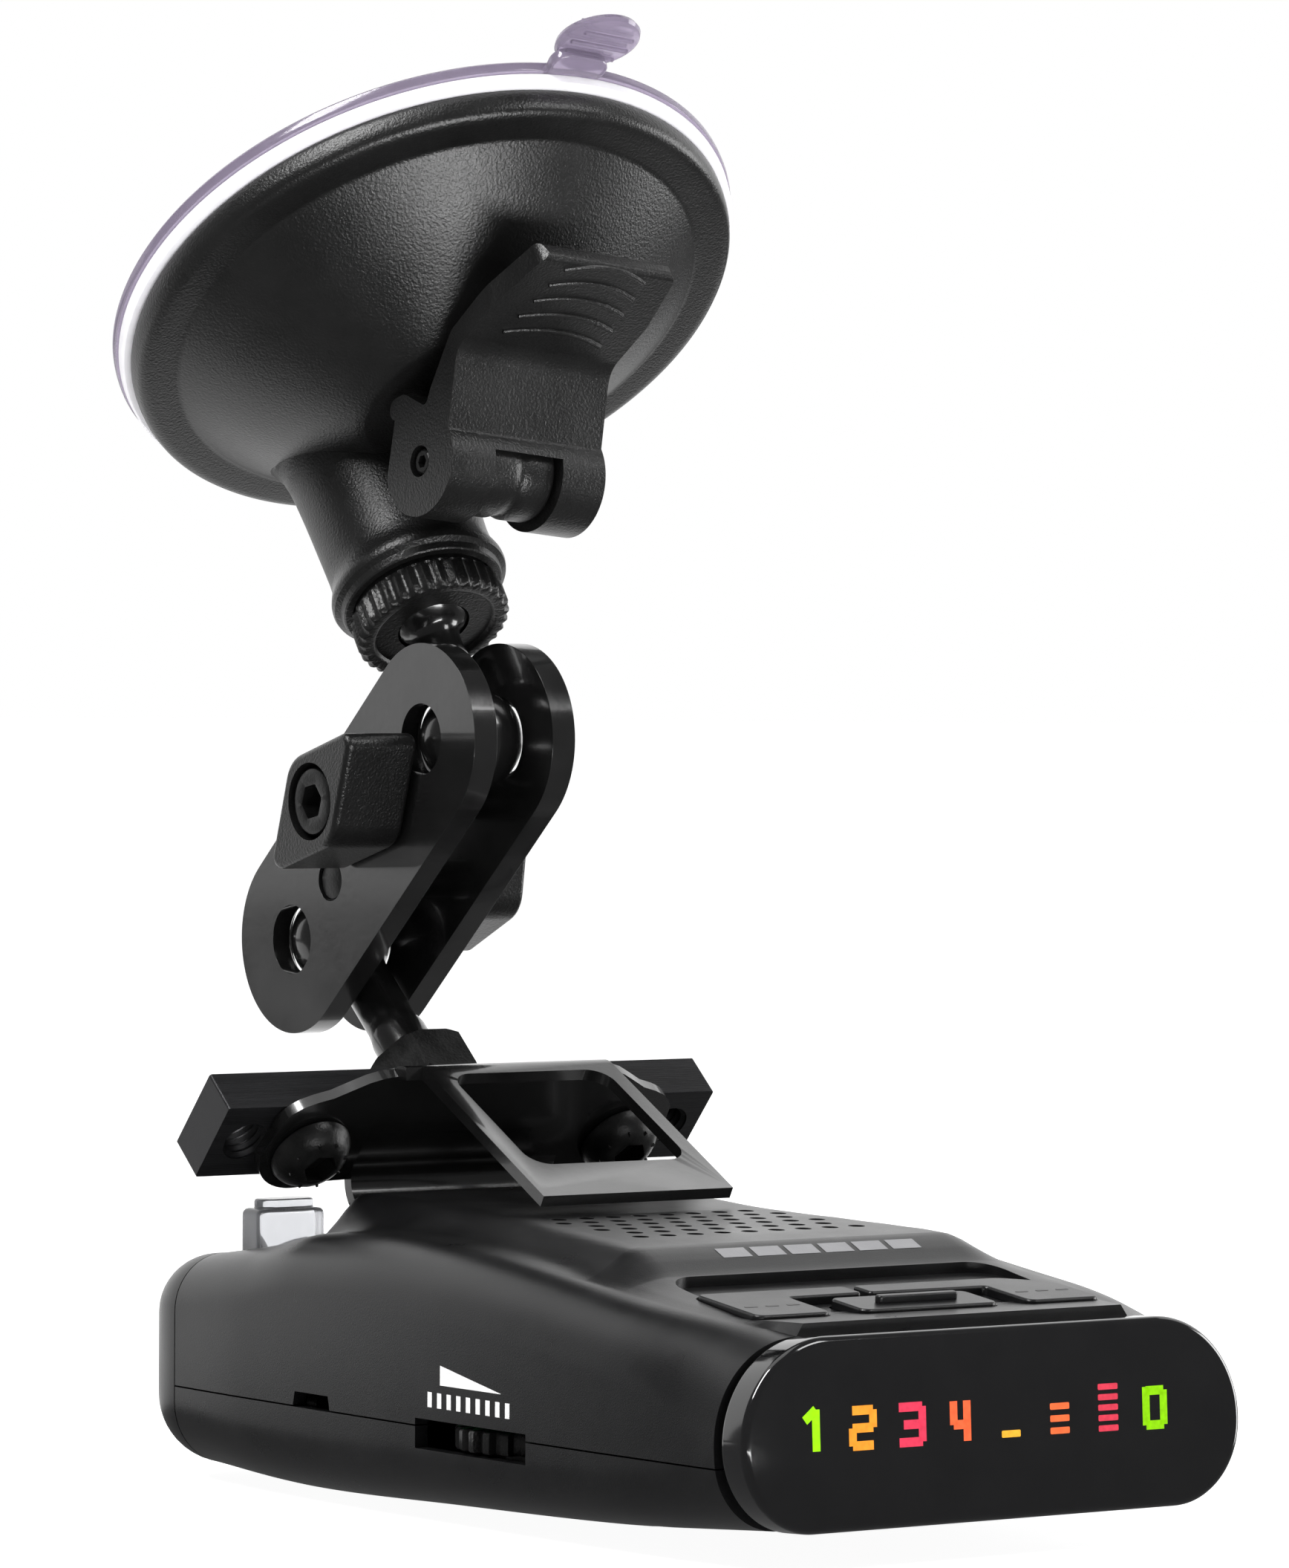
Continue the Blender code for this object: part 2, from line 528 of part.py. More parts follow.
def bracket():
    """One bent sheet: the tongue in the case, the plate with its ears on the bar, and the window frame."""
    to_detector = lambda y, z: (BAR_AT + bar_turn @ Vector((0, y, z))).yz
    slope = Vector((-math.cos(FRAME_SLOPE), -math.sin(FRAME_SLOPE)))
    apex = to_detector(SHEET_Y, 13.4)
    lip = apex + slope * 31.8
    down = (bar_turn @ Vector((0, 0, -1))).yz
    heel = apex + down * (TONGUE_Z - apex.y) / down.y
    path = [(lip.x, lip.y, 0), (apex.x, apex.y, 2.6), (heel.x, heel.y, 4.35), (-28.0, TONGUE_Z, 0)]
    sheet = add("bracket", prism("bracket", [ribbon(path, SHEET)], *STRIP_X), PAINT, detector, turn=SIDEWAYS)
    # the window frame is narrower than the strip behind it
    for edge, far in ((FRAME_X[0], -20), (FRAME_X[1], 20)):
        low, high = sorted((edge, far))
        cut(sheet, box("frame_edge", (low, -60, apex.y - 18), (high, apex.x - 1.6, apex.y + 6)))
    window = rounded_box(WINDOW_X[0], WINDOW_X[1], -24.8, -3.4, 3)
    cut(sheet, prism("window", [window], -4, 4), at=(0, apex.x, apex.y), turn=(FRAME_SLOPE, 0, 0))
    ear = arc(-BAR_SCREW_X, 0, 6.8, -60, -172, 10)
    ear += [(-29.3, 5.2), (-27.3, 7.4), (-23.5, 8.9), (-19.2, 11.4), (-15.3, 12.4)]
    outline = [(-14, -5.6)] + ear + [(-x, z) for x, z in reversed(ear)] + [(14, -5.6)]
    low, high = SHEET_Y - SHEET / 2, SHEET_Y + SHEET / 2
    join(sheet, prism("ears", [outline], -high, -low), at=BAR_AT, turn=(BAR_TILT + math.pi / 2, 0, 0))
    for side in (-1, 1):
        centre = BAR_AT + bar_turn @ Vector((side * BAR_SCREW_X, 0, 0))
        cut(sheet, cylinder("ear_hole", 3.3, -8, 8), at=centre, turn=(BAR_TILT + math.pi / 2, 0, 0))


def bar_screw(name, side):
    """An M6 button-head screw through the bracket's ear into the bar; its +Z points out of the head."""
    seat = -SHEET_Y + SHEET / 2 + GAP
    head = [(0, seat + 3.3), (2.4, seat + 3.2), (3.9, seat + 2.4), (5.0, seat + 1.1), (5.35, seat),
            (3.0, seat), (3.0, -2.6), (0, -2.6)]
    place = dict(at=(side * BAR_SCREW_X, 0, 0), turn=(math.pi / 2, 0, 0))
    screw = add(name, turned(name, head, 18), OXIDE, bar, **place)
    cut(screw, prism("socket", [regular(6, 4)], seat + 1.0, seat + 4), **place)


# ---------------------------------------------------------------- case surfaces

def smooth(value):
    value = min(max(value, 0.0), 1.0)
    return value * value * (3 - 2 * value)


def half_section(y, inset):
    """The right half of the case's section at y, as its flat belly, its side and its top, bottom to top."""
    half = between(HALF_WIDTH, y) - inset
    low = between(BELLY_Z, y) + inset
    high = between(SHOULDER_Z, y) - inset
    belly_r = max(between(BELLY_CORNER, y) - 0.7 * inset, 1.5)
    top_r = max(between(TOP_CORNER, y) - 0.7 * inset, 1.5)
    raised = max(between(PLATEAU_Z, y) - between(SHOULDER_Z, y), 0)
    flat = between(PLATEAU_HALF, y)
    side = arc(half - belly_r, low + belly_r, belly_r, -90, 0, 8)
    side += arc(half - top_r, high - top_r, top_r, 0, 90, 8)
    top = []
    for share in (1, 0.89, 0.78, 0.66, 0.52, 0):
        x = share * (half - top_r)
        top.append((x, high + raised * smooth((flat + PLATEAU_EDGE - x) / PLATEAU_EDGE)))
    return [(0, low), (half - belly_r, low)], side, top


def spread(points, count):
    """Count + 1 points spaced evenly along a line of points."""
    lengths = [0]
    for first, second in zip(points, points[1:]):
        lengths.append(lengths[-1] + math.dist(first, second))
    spaced = []
    for k in range(count + 1):
        want = lengths[-1] * k / count
        i = max(j for j in range(len(points) - 1) if lengths[j] <= want + 1e-9)
        share = min((want - lengths[i]) / max(lengths[i + 1] - lengths[i], 1e-9), 1)
        spaced.append(tuple(a + (b - a) * share for a, b in zip(points[i], points[i + 1])))
    return spaced


def clipped(points, z, above):
    """The stretch of a rising line of points above or below z, with a point at z."""
    kept = [p for p in points if (p[1] > z if above else p[1] < z)]
    for first, second in zip(points, points[1:]):
        if first[1] <= z < second[1]:
            share = (z - first[1]) / (second[1] - first[1])
            edge = (first[0] + (second[0] - first[0]) * share, z)
            return [edge] + kept if above else kept + [edge]
    return kept


def placed(points, y):
    """Section points set at y; near the front they lean back with the display."""
    share = min(max((-96 - y) / 12, 0), 1)
    return [(x, y + 0.053 * (z - 10.7) * share, z) for x, z in points]


def shell_ring(y, upper):
    """One closed ring of a case half: its outer surface from right to left and its inner one back."""
    ring = []
    for inset in (0, WALL):
        belly, side, top = half_section(y, inset)
        if upper:
            half = spread(clipped(side, SEAM_Z + GAP / 2, True), 6) + top[1:]
        else:
            half = spread(clipped(side, SEAM_Z - GAP / 2, False), 5)[::-1] + [(belly[0][0], belly[0][1])]
            half = half[:-1] + [(half[-2][0] / 2, half[-2][1]), half[-1]]
        whole = half + [(-x, z) for x, z in half[-2::-1]]
        ring += whole if inset == 0 else whole[::-1]
    return placed(ring, y)


POST_AT = ((-28.5, -90.0), (28.5, -90.0), (-29.0, -7.0), (29.0, -7.0))


def grown(outline, distance):
    """The outline moved outwards by a distance, for a running clearance."""
    moved = []
    for i, point in enumerate(outline):
        here = Vector(point)
        along = (Vector(outline[(i + 1) % len(outline)]) - Vector(outline[i - 1])).normalized()
        moved.append(tuple(here + Vector((along.y, -along.x)) * distance))
    return moved


BUTTONS = {
    "left": [(-25, -20, 1.2), (-14.4, -20, 1.2), (-14.4, -11.4, 0.6), (-3.6, -11.2, 0.6), (-3.6, -7.4, 0.8),
             (-25, -7.4, 1.2)],
    "middle": [(-9.9, -20, 1.2), (9.9, -20, 1.2), (9.9, -12.9, 1.2), (-9.9, -12.9, 1.2)],
    "right": [(14.4, -20, 1.2), (25, -20, 1.2), (25, -11, 4), (19, -7.4, 4), (-2.4, -7.4, 0.8),
              (-2.4, -11.2, 0.6), (14.4, -11.4, 0.6)],
}
SWITCH_AT = {"left": (-19.7, -15.0), "middle": (0.0, -16.4), "right": (19.7, -15.0)}


def upper_case():
    stations = (CASE_FRONT_Y, -102, -95, -86, -80.6, -77, -73.5, -66, -52, -38, -25, -7.5, -4.5, 1,
                CAP_SPLIT_Y - GAP / 2)
    mesh = loft("upper_case", [shell_ring(y, True) for y in stations], -1)
    case = add("upper_case", mesh, SATIN, detector)
    cut(case, box("bracket_slot", (-16.2, -9.4, 27.1), (15.8, -2.0, 29.4)))
    cut(case, box("wheel_window", (-42, -72.1, 4), (-33, -49.3, 8.1)))
    notch = [(-30.7, 6.5), (-22.0, 6.5), (-22.6, 9.0), (-30.1, 9.0)]
    cut(case, prism("jack_notch", [notch], -42, -33), turn=SIDEWAYS)
    cut(case, prism("laser_hole", [rounded_box(-26.7, -17.7, -0.5, 5.4, 1.5)], 20, 30))
    holes = [circle((column - 4 + row % 2 / 2) * HOLE_PITCH, -65 + row * HOLE_PITCH, HOLE_R, 4)
             for row in range(6) for column in range(9 - row % 2)]
    cut(case, prism("grille", holes, 26, 36))
    for x, y in POST_AT:
        roof = between(SHOULDER_Z, y) - WALL + 0.4
        join(case, cylinder("post", 2.8, SEAM_Z + GAP / 2, roof, 10), at=(x, y, 0))
        cut(case, cylinder("post_bore", 1.5, 0, 16.5, 8), at=(x, y, 0))
    pocket = rounded([(-24, -17, 0.6), (24, -17, 0.6), (24, 0.5, 4), (-24, 0.5, 4)])
    cut(case, prism("pocket", [pocket], 0, 8)).parent = deck
    for points in BUTTONS.values():
        cut(case, prism("button_hole", [grown(rounded(points), GAP)], -8, 4)).parent = deck
    for modifier in case.modifiers:
        modifier.solver = "MANIFOLD"  # the exact solver leaves open edges on this thin shell


def lower_case():
    stations = (CASE_FRONT_Y, -102, -94, -81, -62, -42, -20, -6, CAP_SPLIT_Y - GAP / 2)
    mesh = loft("lower_case", [shell_ring(y, False) for y in stations], -1)
    case = add("lower_case", mesh, SATIN, detector)
    for x, y in POST_AT:
        low = between(BELLY_Z, y)
        join(case, cylinder("boss", 3.2, low + 1.0, SEAM_Z - GAP / 2, 10), at=(x, y, 0))
        cut(case, cylinder("boss_bore", 1.5, -8, 10, 8), at=(x, y, 0))
        cut(case, cylinder("boss_recess", 2.6, -8, low + 3.4, 10), at=(x, y, 0))
    cut(case, box("wheel_window", (-42, -72.1, 4.5), (-33, -49.3, 9)))


def rear_cap():
    depth = CAP_BACK_Y - CAP_SPLIT_Y
    bulge = lambda share: 9.0 * (1 - math.sqrt(1 - share * share))
    shares = (0.014, 0.2, 0.4, 0.6, 0.78, 0.9, 0.975)
    outer = [whole_ring(CAP_SPLIT_Y, CAP_SPLIT_Y + depth * s, bulge(s)) for s in shares]
    inner = [whole_ring(CAP_SPLIT_Y, CAP_SPLIT_Y + (depth - WALL) * s, WALL + bulge(s)) for s in shares]
    inner[0] = whole_ring(CAP_SPLIT_Y, CAP_SPLIT_Y + GAP / 2, WALL)
    outer[0] = whole_ring(CAP_SPLIT_Y, CAP_SPLIT_Y + GAP / 2, 0)
    add("rear_cap", loft("rear_cap", inner[::-1] + outer, 0), SATIN, detector)


def whole_ring(section_y, y, inset):
    """The section at section_y, shrunk by inset and set at y."""
    belly, side, top = half_section(section_y, inset)
    half = belly[:1] + spread(side, 9) + top[1:]
    return placed(half + [(-x, z) for x, z in half[-2:0:-1]], y)


# ---------------------------------------------------------------- display end

def display():
    low, high = LENS_Z
    half = (high - low) / 2
    face = rounded([(-LENS_WIDTH / 2, -half, 9.8), (LENS_WIDTH / 2, -half, 9.8), (LENS_WIDTH / 2, half, 12.9),
                    (-LENS_WIDTH / 2, half, 12.9)], 6)
    lens = add("display_lens", prism("display_lens", [face], 0, LENS_THICK), GLOSS, detector,
               at=(0, -108.5, (low + high) / 2), turn=(math.pi / 2 - LENS_LEAN, 0, 0))
    bevel = lens.modifiers.new("edge", "BEVEL")
    bevel.width = 0.6 * MM
    bevel.segments = 2
    bevel.limit_method = "ANGLE"
    windows = [rounded_box(x - 2.9, x + 2.9, 6.4, 15.0, 0.6, 2) for x in range(-26, 27, 7)]
    shroud = [rounded_box(-31, 31, 4, 17.4, 1.5, 3), *windows]
    add("display_shroud", prism("display_shroud", shroud, 103.6, 106.8), TEXTURED, detector, turn=UPRIGHT)
    add("display_board", prism("display_board", [rounded_box(-30, 30, 3.4, 17.8, 1, 2)], 102.0, 103.2), BOARD,
        detector, turn=UPRIGHT)


def buttons():
    for name, points in BUTTONS.items():
        x, y = SWITCH_AT[name]
        mesh = prism(f"button_{name}", [rounded(points)], -2.2, BUTTON_PROUD)
        cap = add(f"button_{name}", mesh, SATIN, deck)
        flange = rounded_box(x - 6.2, x + 6.2, -20.9, -11.6 if name != "middle" else -12.2, 1, 2)
        join(cap, prism("flange", [flange], -3.1, -2.15))
        join(cap, cylinder("plunger", 1.5, -4.4, -3.0, 12), at=(x, y, 0))
        if name == "middle":
            join(cap, prism("raised_bar", [rounded_box(-5.8, 5.8, -17.4, -16.2, 0.5, 2)], 0.8, 2.0))
        body = rounded_box(x - 3, x + 3, y - 3, y + 3, 0.4, 1)
        switch = add(f"tact_switch_{name}", prism("tact_switch", [body], -9.4, -6.0), TEXTURED, deck)
        join(switch, cylinder("actuator", 1.7, -6.2, -5.1, 12), at=(x, y, 0))
    board = prism("button_board", [rounded_box(-25.2, 25.2, -20.6, -6.5, 1, 2)], -10.9, -9.7)
    add("button_board", board, BOARD, deck)


# ---------------------------------------------------------------- inside the case

def volume_control():
    x, y = WHEEL_AT
    teeth = 20
    rim = [((WHEEL_R - 0.45 * (k % 2)) * math.cos(math.pi * k / teeth), (WHEEL_R - 0.45 * (k % 2)) *
            math.sin(math.pi * k / teeth)) for k in range(2 * teeth)]
    add("volume_wheel", prism("volume_wheel", [rim, circle(0, 0, 1.8, 14)], *WHEEL_Z), TEXTURED, detector,
        at=(x, y, 0))
    pot = [(0, 8.3), (1.5, 8.3), (1.5, 4.4), (6.0, 4.4), (6.0, 0.2), (0, 0.2)]
    add("volume_potentiometer", turned("volume_potentiometer", pot, 14), STEEL, detector, at=(x, y, 0))


def main_board():
    outline = rounded([(-33, -101, 2), (33, -101, 2), (33, -2, 2), (-33, -2, 2), (-33, -19, 0.5),
                       (-21, -19, 0.5), (-21, -34, 0.5), (-33, -34, 0.5)], 3)
    board = add("main_board", prism("main_board", [outline], 8.8, 10.4), BOARD, detector)
    for x, y in POST_AT:
        cut(board, cylinder("post_clearance", 3.4, 8, 11, 14), at=(x, y, 0))
    can = add("shield_can", box("shield_can", (-15, -74, 10.7), (15, -46, 15.5)), STEEL, detector)
    cut(can, box("can_hollow", (-14.6, -73.6, 10), (14.6, -46.4, 15.1)))


def horn_antenna():
    horn = add("horn_antenna", box("horn_antenna", (-13, -33, 10.7), (25.5, 3, 21.6)), CAST, detector)
    bm = bmesh.new()
    mouth = [bm.verts.new((x, 5, z)) for x, z in ((-11.5, 12), (24, 12), (24, 20.4), (-11.5, 20.4))]
    throat = [bm.verts.new((x, -27, z)) for x, z in ((1, 14.2), (12, 14.2), (12, 18.2), (1, 18.2))]
    for i in range(4):
        j = (i + 1) % 4
        bm.faces.new((mouth[i], mouth[j], throat[j], throat[i]))
    bm.faces.new(mouth)
    bm.faces.new(throat)
    cut(horn, from_bmesh("horn_flare", bm))


def speaker():
    basket = [(0, 21.4), (4.6, 21.4), (7.2, 23.4), (12.2, 27.2), (12.6, 28.0), (14.0, 28.0), (14.0, 27.0),
              (8.2, 22.6), (8.2, 17.6), (0, 17.6)]
    add("speaker_basket", turned("speaker_basket", basket, 16), STEEL, detector, at=SPEAKER_AT)
    cone = [(0, 25.2), (3.0, 24.6), (11.4, 28.0), (11.9, 27.9), (3.6, 23.7), (0, 23.7)]
    add("speaker_cone", turned("speaker_cone", cone, 16), CONE, detector, at=SPEAKER_AT)


def inlet_and_laser():
    jack = add("power_jack", box("power_jack", (-34.0, -32.4, 3.6), (-22, -20.3, 11.6)), TEXTURED, detector)
    cut(jack, box("jack_socket", (-36, -30.4, 5.2), (-24, -22.3, 9.6)))
    mesh = prism("laser_lens", [rounded_box(-26.3, -18.1, -0.1, 5.1, 1.2, 3)], 22.4, 28.2)
    lens = add("laser_lens", mesh, CLEAR, detector)
    join(lens, prism("laser_crown", [rounded_box(-25.4, -19.0, 0.7, 4.3, 0.8, 3)], 28, 29.2))
    join(lens, box("laser_flange", (-27.0, -1.2, 20.9), (-17.4, 5.4, 21.5)))
    join(lens, box("laser_neck", (-25.8, 0.3, 21.2), (-18.6, 4.6, 23)))
    board = box("laser_sensor_board", (-27.5, -2.2, 17.4), (-15, 5.6, 18.4))
    add("laser_sensor_board", board, BOARD, detector)
    diode = cylinder("laser_photodiode", 2.2, 18.7, 20.6, 16)
    add("laser_photodiode", diode, OXIDE, detector, at=(-22.2, 2.4, 0))


def slot_guide():
    """The moulded channel behind the case's slot that takes the bracket's tongue."""
    guide = add("bracket_slot_guide", box("bracket_slot_guide", (-18.2, -30.6, 25.4), (17.8, -11.0, 28.6)),
                TEXTURED, detector)
    cut(guide, box("guide_channel", (-16.2, -29.0, 27.1), (15.8, -5, 33)))


def case_screws():
    for index, (x, y) in enumerate(POST_AT, 1):
        low = between(BELLY_Z, y)
        profile = [(0, 15.6), (0.9, 15.2), (1.2, 14), (1.2, low + 3.1), (2.3, low + 3.1), (2.3, low + 1.9),
                   (1.7, low + 1.3), (0, low + 1.3)]
        screw = add(f"case_screw_{index}", turned("case_screw", profile, 8), OXIDE, detector, at=(x, y, 0))
        for turn in (0, math.pi / 2):
            cut(screw, box("cross_recess", (-1.2, -0.25, low + 1.0), (1.2, 0.25, low + 2.1)), at=(x, y, 0),
                turn=(0, 0, turn))


suction_pad()
cup_housing()
draw_stem()
cam_lever()
ball_clamp()
double_ball_stud()
arm_side(-1)
arm_side(1)
lower_stud()
mount_bar()
bracket()
bar_screw("bar_screw_left", -1)
bar_screw("bar_screw_right", 1)
upper_case()
lower_case()
rear_cap()
display()
buttons()
volume_control()
main_board()
horn_antenna()
speaker()
inlet_and_laser()
slot_guide()
case_screws()
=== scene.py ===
"""The looks of a windshield radar detector on its suction mount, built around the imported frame.

Shapes are drawn in millimetres in the frames of the CAD part and moved into the world through MM.
"""

import json
import math

import bmesh
import bpy
from mathutils import Euler, Matrix, Vector


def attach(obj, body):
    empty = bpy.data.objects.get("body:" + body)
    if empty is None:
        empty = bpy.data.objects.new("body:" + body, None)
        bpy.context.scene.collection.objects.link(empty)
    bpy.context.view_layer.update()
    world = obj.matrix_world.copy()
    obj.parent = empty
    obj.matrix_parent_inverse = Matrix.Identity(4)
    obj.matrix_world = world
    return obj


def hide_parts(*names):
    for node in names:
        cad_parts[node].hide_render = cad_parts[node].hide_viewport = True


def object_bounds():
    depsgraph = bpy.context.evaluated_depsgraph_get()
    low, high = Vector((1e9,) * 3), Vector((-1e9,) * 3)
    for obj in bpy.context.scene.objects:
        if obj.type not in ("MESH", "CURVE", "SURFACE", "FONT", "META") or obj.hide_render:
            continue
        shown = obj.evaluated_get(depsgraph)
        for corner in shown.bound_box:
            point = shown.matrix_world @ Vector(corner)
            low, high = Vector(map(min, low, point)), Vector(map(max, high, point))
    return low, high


MM = 0.001
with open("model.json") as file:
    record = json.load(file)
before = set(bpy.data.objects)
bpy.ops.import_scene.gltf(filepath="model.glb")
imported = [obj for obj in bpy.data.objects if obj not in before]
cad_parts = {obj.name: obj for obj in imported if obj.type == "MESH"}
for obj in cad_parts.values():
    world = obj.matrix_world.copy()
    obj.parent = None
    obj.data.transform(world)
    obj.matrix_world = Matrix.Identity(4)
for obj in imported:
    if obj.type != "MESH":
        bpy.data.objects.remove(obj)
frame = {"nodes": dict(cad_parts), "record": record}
cad_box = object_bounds()

# ---------------------------------------------------------------- frames and sizes of the part

CUP_AT = Vector((0.25, 6.67, 105.95))
CUP_TURN = Euler((math.radians(-37.5), math.radians(5.6), math.radians(2.1))).to_matrix()
DISH_Y = -20.4
GLASS_Z = 36.5
PIN_Z = 4.1
BALL_R = 6.5
BALL_LOW = Vector((0, -4.9, 87.9))
ARM_R = 12.1
BOLT_OFFSET = 12.0
BLOCK_THICK = 10.5
BLOCK_INNER = 7.9
BAR_AT = Vector((0, -0.45, 40.05))
BAR_TILT = math.radians(41.5)
BAR_SIZE = (73.7, 6.08, 11.9)
BAR_SCREW_X = 23.5
BAR_END_HOLE_X = 32.0
STUD_LENGTH = 33.4
STUD_Z = -0.6
SHEET = 1.5
SHEET_Y = -3.34 - SHEET / 2
FRAME_SLOPE = math.radians(28.4)
FRAME_X = (-13.2, 16.5)
WINDOW_X = (-10.4, 13.1)
STRIP_X = (-15.6, 15.2)
TONGUE_Z = 28.25
LENS_WIDTH = 72.0
LENS_Z = (-0.4, 21.8)
LENS_THICK = 5.0
LENS_LEAN = math.radians(3.0)
CASE_FRONT_Y = -107.6
CAP_SPLIT_Y = 6.3
CAP_BACK_Y = 17.4
SEAM_Z = 7.2
SEAM_GAP = 0.2
WALL = 1.8
HALF_WIDTH = ((-108, 36.0), (-80, 37.1), (-50, 37.5), (-10, 37.2), (6.3, 36.6))
BELLY_Z = ((-108, -0.2), (-81, -1.8), (-51, -2.7), (-18, -3.6), (6.3, -2.8))
SHOULDER_Z = ((-108, 21.5), (-96, 23.2), (-81, 24.9), (-66, 26.6), (-50, 27.9), (-35, 28.5), (-21, 27.9),
              (-8, 25.5), (6.3, 23.5))
PLATEAU_Z = ((-98, 23.0), (-80.6, 26.3), (-77, 28.0), (-73.5, 29.3), (-60, 29.9), (-41, 30.5), (-28, 31.2),
             (-7.5, 31.4), (-4.5, 25.2))
PLATEAU_HALF = ((-98, 24.0), (-80, 23.0), (-60, 20.0), (-41, 17.6), (-7.5, 17.0))
PLATEAU_EDGE = 8.0
TOP_CORNER = ((-108, 12.0), (-88, 8.0), (6.3, 7.0))
BELLY_CORNER = ((-108, 8.6), (-88, 7.0), (6.3, 8.0))
WHEEL_AT = (-26.2, -60.7)
WHEEL_R = 11.0
WHEEL_Z = (4.8, 7.6)
BUTTON_PROUD = 1.1
DECK_SLOPE = 0.128
HOLE_PITCH = 4.0
HOLE_R = 1.05

glass_centre = CUP_AT + CUP_TURN @ Vector((0, DISH_Y, GLASS_Z))
bar_turn = Matrix.Rotation(BAR_TILT, 3, "X")
ball_end = BAR_AT + bar_turn @ Vector((0, STUD_LENGTH, STUD_Z))
stud_axis = CUP_AT - BALL_LOW
arm_axis = ball_end - BALL_LOW
ARM_LENGTH = arm_axis.length
STUD_REACH = stud_axis.length

DETECTOR = Matrix.Translation(-glass_centre)
CUP = DETECTOR @ Matrix.Translation(CUP_AT) @ CUP_TURN.to_4x4()
DISH = CUP @ Matrix.Translation((0, DISH_Y, 0))
PIN = CUP @ Matrix.Translation((0, DISH_Y, PIN_Z))
ALONG_X = Matrix.Rotation(math.pi / 2, 4, "Y")
SIDEWAYS = Euler((math.pi / 2, 0, math.pi / 2)).to_matrix().to_4x4()
UPRIGHT = Matrix.Rotation(math.pi / 2, 4, "X")
ARM = DETECTOR @ Matrix.Translation(BALL_LOW) @ Matrix.Rotation(math.atan2(arm_axis.z, arm_axis.y), 4, "X")
BAR = DETECTOR @ Matrix.Translation(BAR_AT) @ Matrix.Rotation(BAR_TILT, 4, "X")
DECK = DETECTOR @ Matrix.Translation((0, -81, 24.9)) @ Matrix.Rotation(math.atan(DECK_SLOPE), 4, "X")
LENS = (DETECTOR @ Matrix.Translation((0, -108.5, sum(LENS_Z) / 2)) @
        Matrix.Rotation(math.pi / 2 - LENS_LEAN, 4, "X"))

# ---------------------------------------------------------------- mesh tools


def from_bmesh(bm):
    bmesh.ops.recalc_face_normals(bm, faces=bm.faces)
    if bm.calc_volume(signed=True) < 0:
        bmesh.ops.reverse_faces(bm, faces=bm.faces)
    mesh = bpy.data.meshes.new("mesh")
    bm.to_mesh(mesh)
    bm.free()
    return mesh


def box(low, high):
    bm = bmesh.new()
    bmesh.ops.create_cube(bm, size=1.0)
    low, high = Vector(low), Vector(high)
    bmesh.ops.transform(bm, matrix=Matrix.LocRotScale((low + high) / 2, None, high - low), verts=bm.verts)
    return from_bmesh(bm)


def cylinder(radius, low, high, sides=64):
    bm = bmesh.new()
    bmesh.ops.create_cone(bm, cap_ends=True, segments=sides, radius1=radius, radius2=radius, depth=high - low)
    bmesh.ops.translate(bm, verts=bm.verts, vec=(0, 0, (low + high) / 2))
    return from_bmesh(bm)


def ball(radius, sides=64):
    bm = bmesh.new()
    bmesh.ops.create_uvsphere(bm, u_segments=sides, v_segments=sides // 2, radius=radius)
    return from_bmesh(bm)


def turned(profile, sides=128, closed=False, shape=None):
    """Turns (radius, z) points about Z. shape(angle, radius, z) may give another radius."""
    bm = bmesh.new()
    rings = []
    for radius, z in profile:
        if radius < 1e-6:
            rings.append([bm.verts.new((0, 0, z))])
            continue
        ring = []
        for k in range(sides):
            angle = 2 * math.pi * k / sides
            r = shape(angle, radius, z) if shape else radius
            ring.append(bm.verts.new((r * math.cos(angle), r * math.sin(angle), z)))
        rings.append(ring)
    pairs = list(zip(rings, rings[1:])) + ([(rings[-1], rings[0])] if closed else [])
    for first, second in pairs:
        for k in range(sides):
            j = (k + 1) % sides
            corners = [first[k % len(first)], first[j % len(first)],
                       second[j % len(second)], second[k % len(second)]]
            corners = list(dict.fromkeys(corners))
            if len(corners) > 2:
                bm.faces.new(corners)
    return from_bmesh(bm)


def prism(outlines, low, high):
    """Closed outlines in XY, the first outside and the rest holes, extruded in Z from low to high."""
    curve = bpy.data.curves.new("outline", "CURVE")
    curve.dimensions = "2D"
    curve.fill_mode = "BOTH"
    curve.extrude = (high - low) / 2
    for outline in outlines:
        spline = curve.splines.new("POLY")
        spline.points.add(len(outline) - 1)
        spline.use_cyclic_u = True
        for point, (x, y) in zip(spline.points, outline):
            point.co = (x, y, 0, 1)
    holder = bpy.data.objects.new("outline", curve)
    bpy.context.scene.collection.objects.link(holder)
    bpy.context.view_layer.update()
    mesh = bpy.data.meshes.new_from_object(holder.evaluated_get(bpy.context.evaluated_depsgraph_get()))
    bm = bmesh.new()
    bm.from_mesh(mesh)
    bmesh.ops.remove_doubles(bm, verts=bm.verts, dist=0.0005)
    bmesh.ops.dissolve_limit(bm, angle_limit=0.01, verts=bm.verts, edges=bm.edges)
    bmesh.ops.translate(bm, verts=bm.verts, vec=(0, 0, (low + high) / 2))
    bpy.data.objects.remove(holder, do_unlink=True)
    bpy.data.meshes.remove(mesh)
    return from_bmesh(bm)


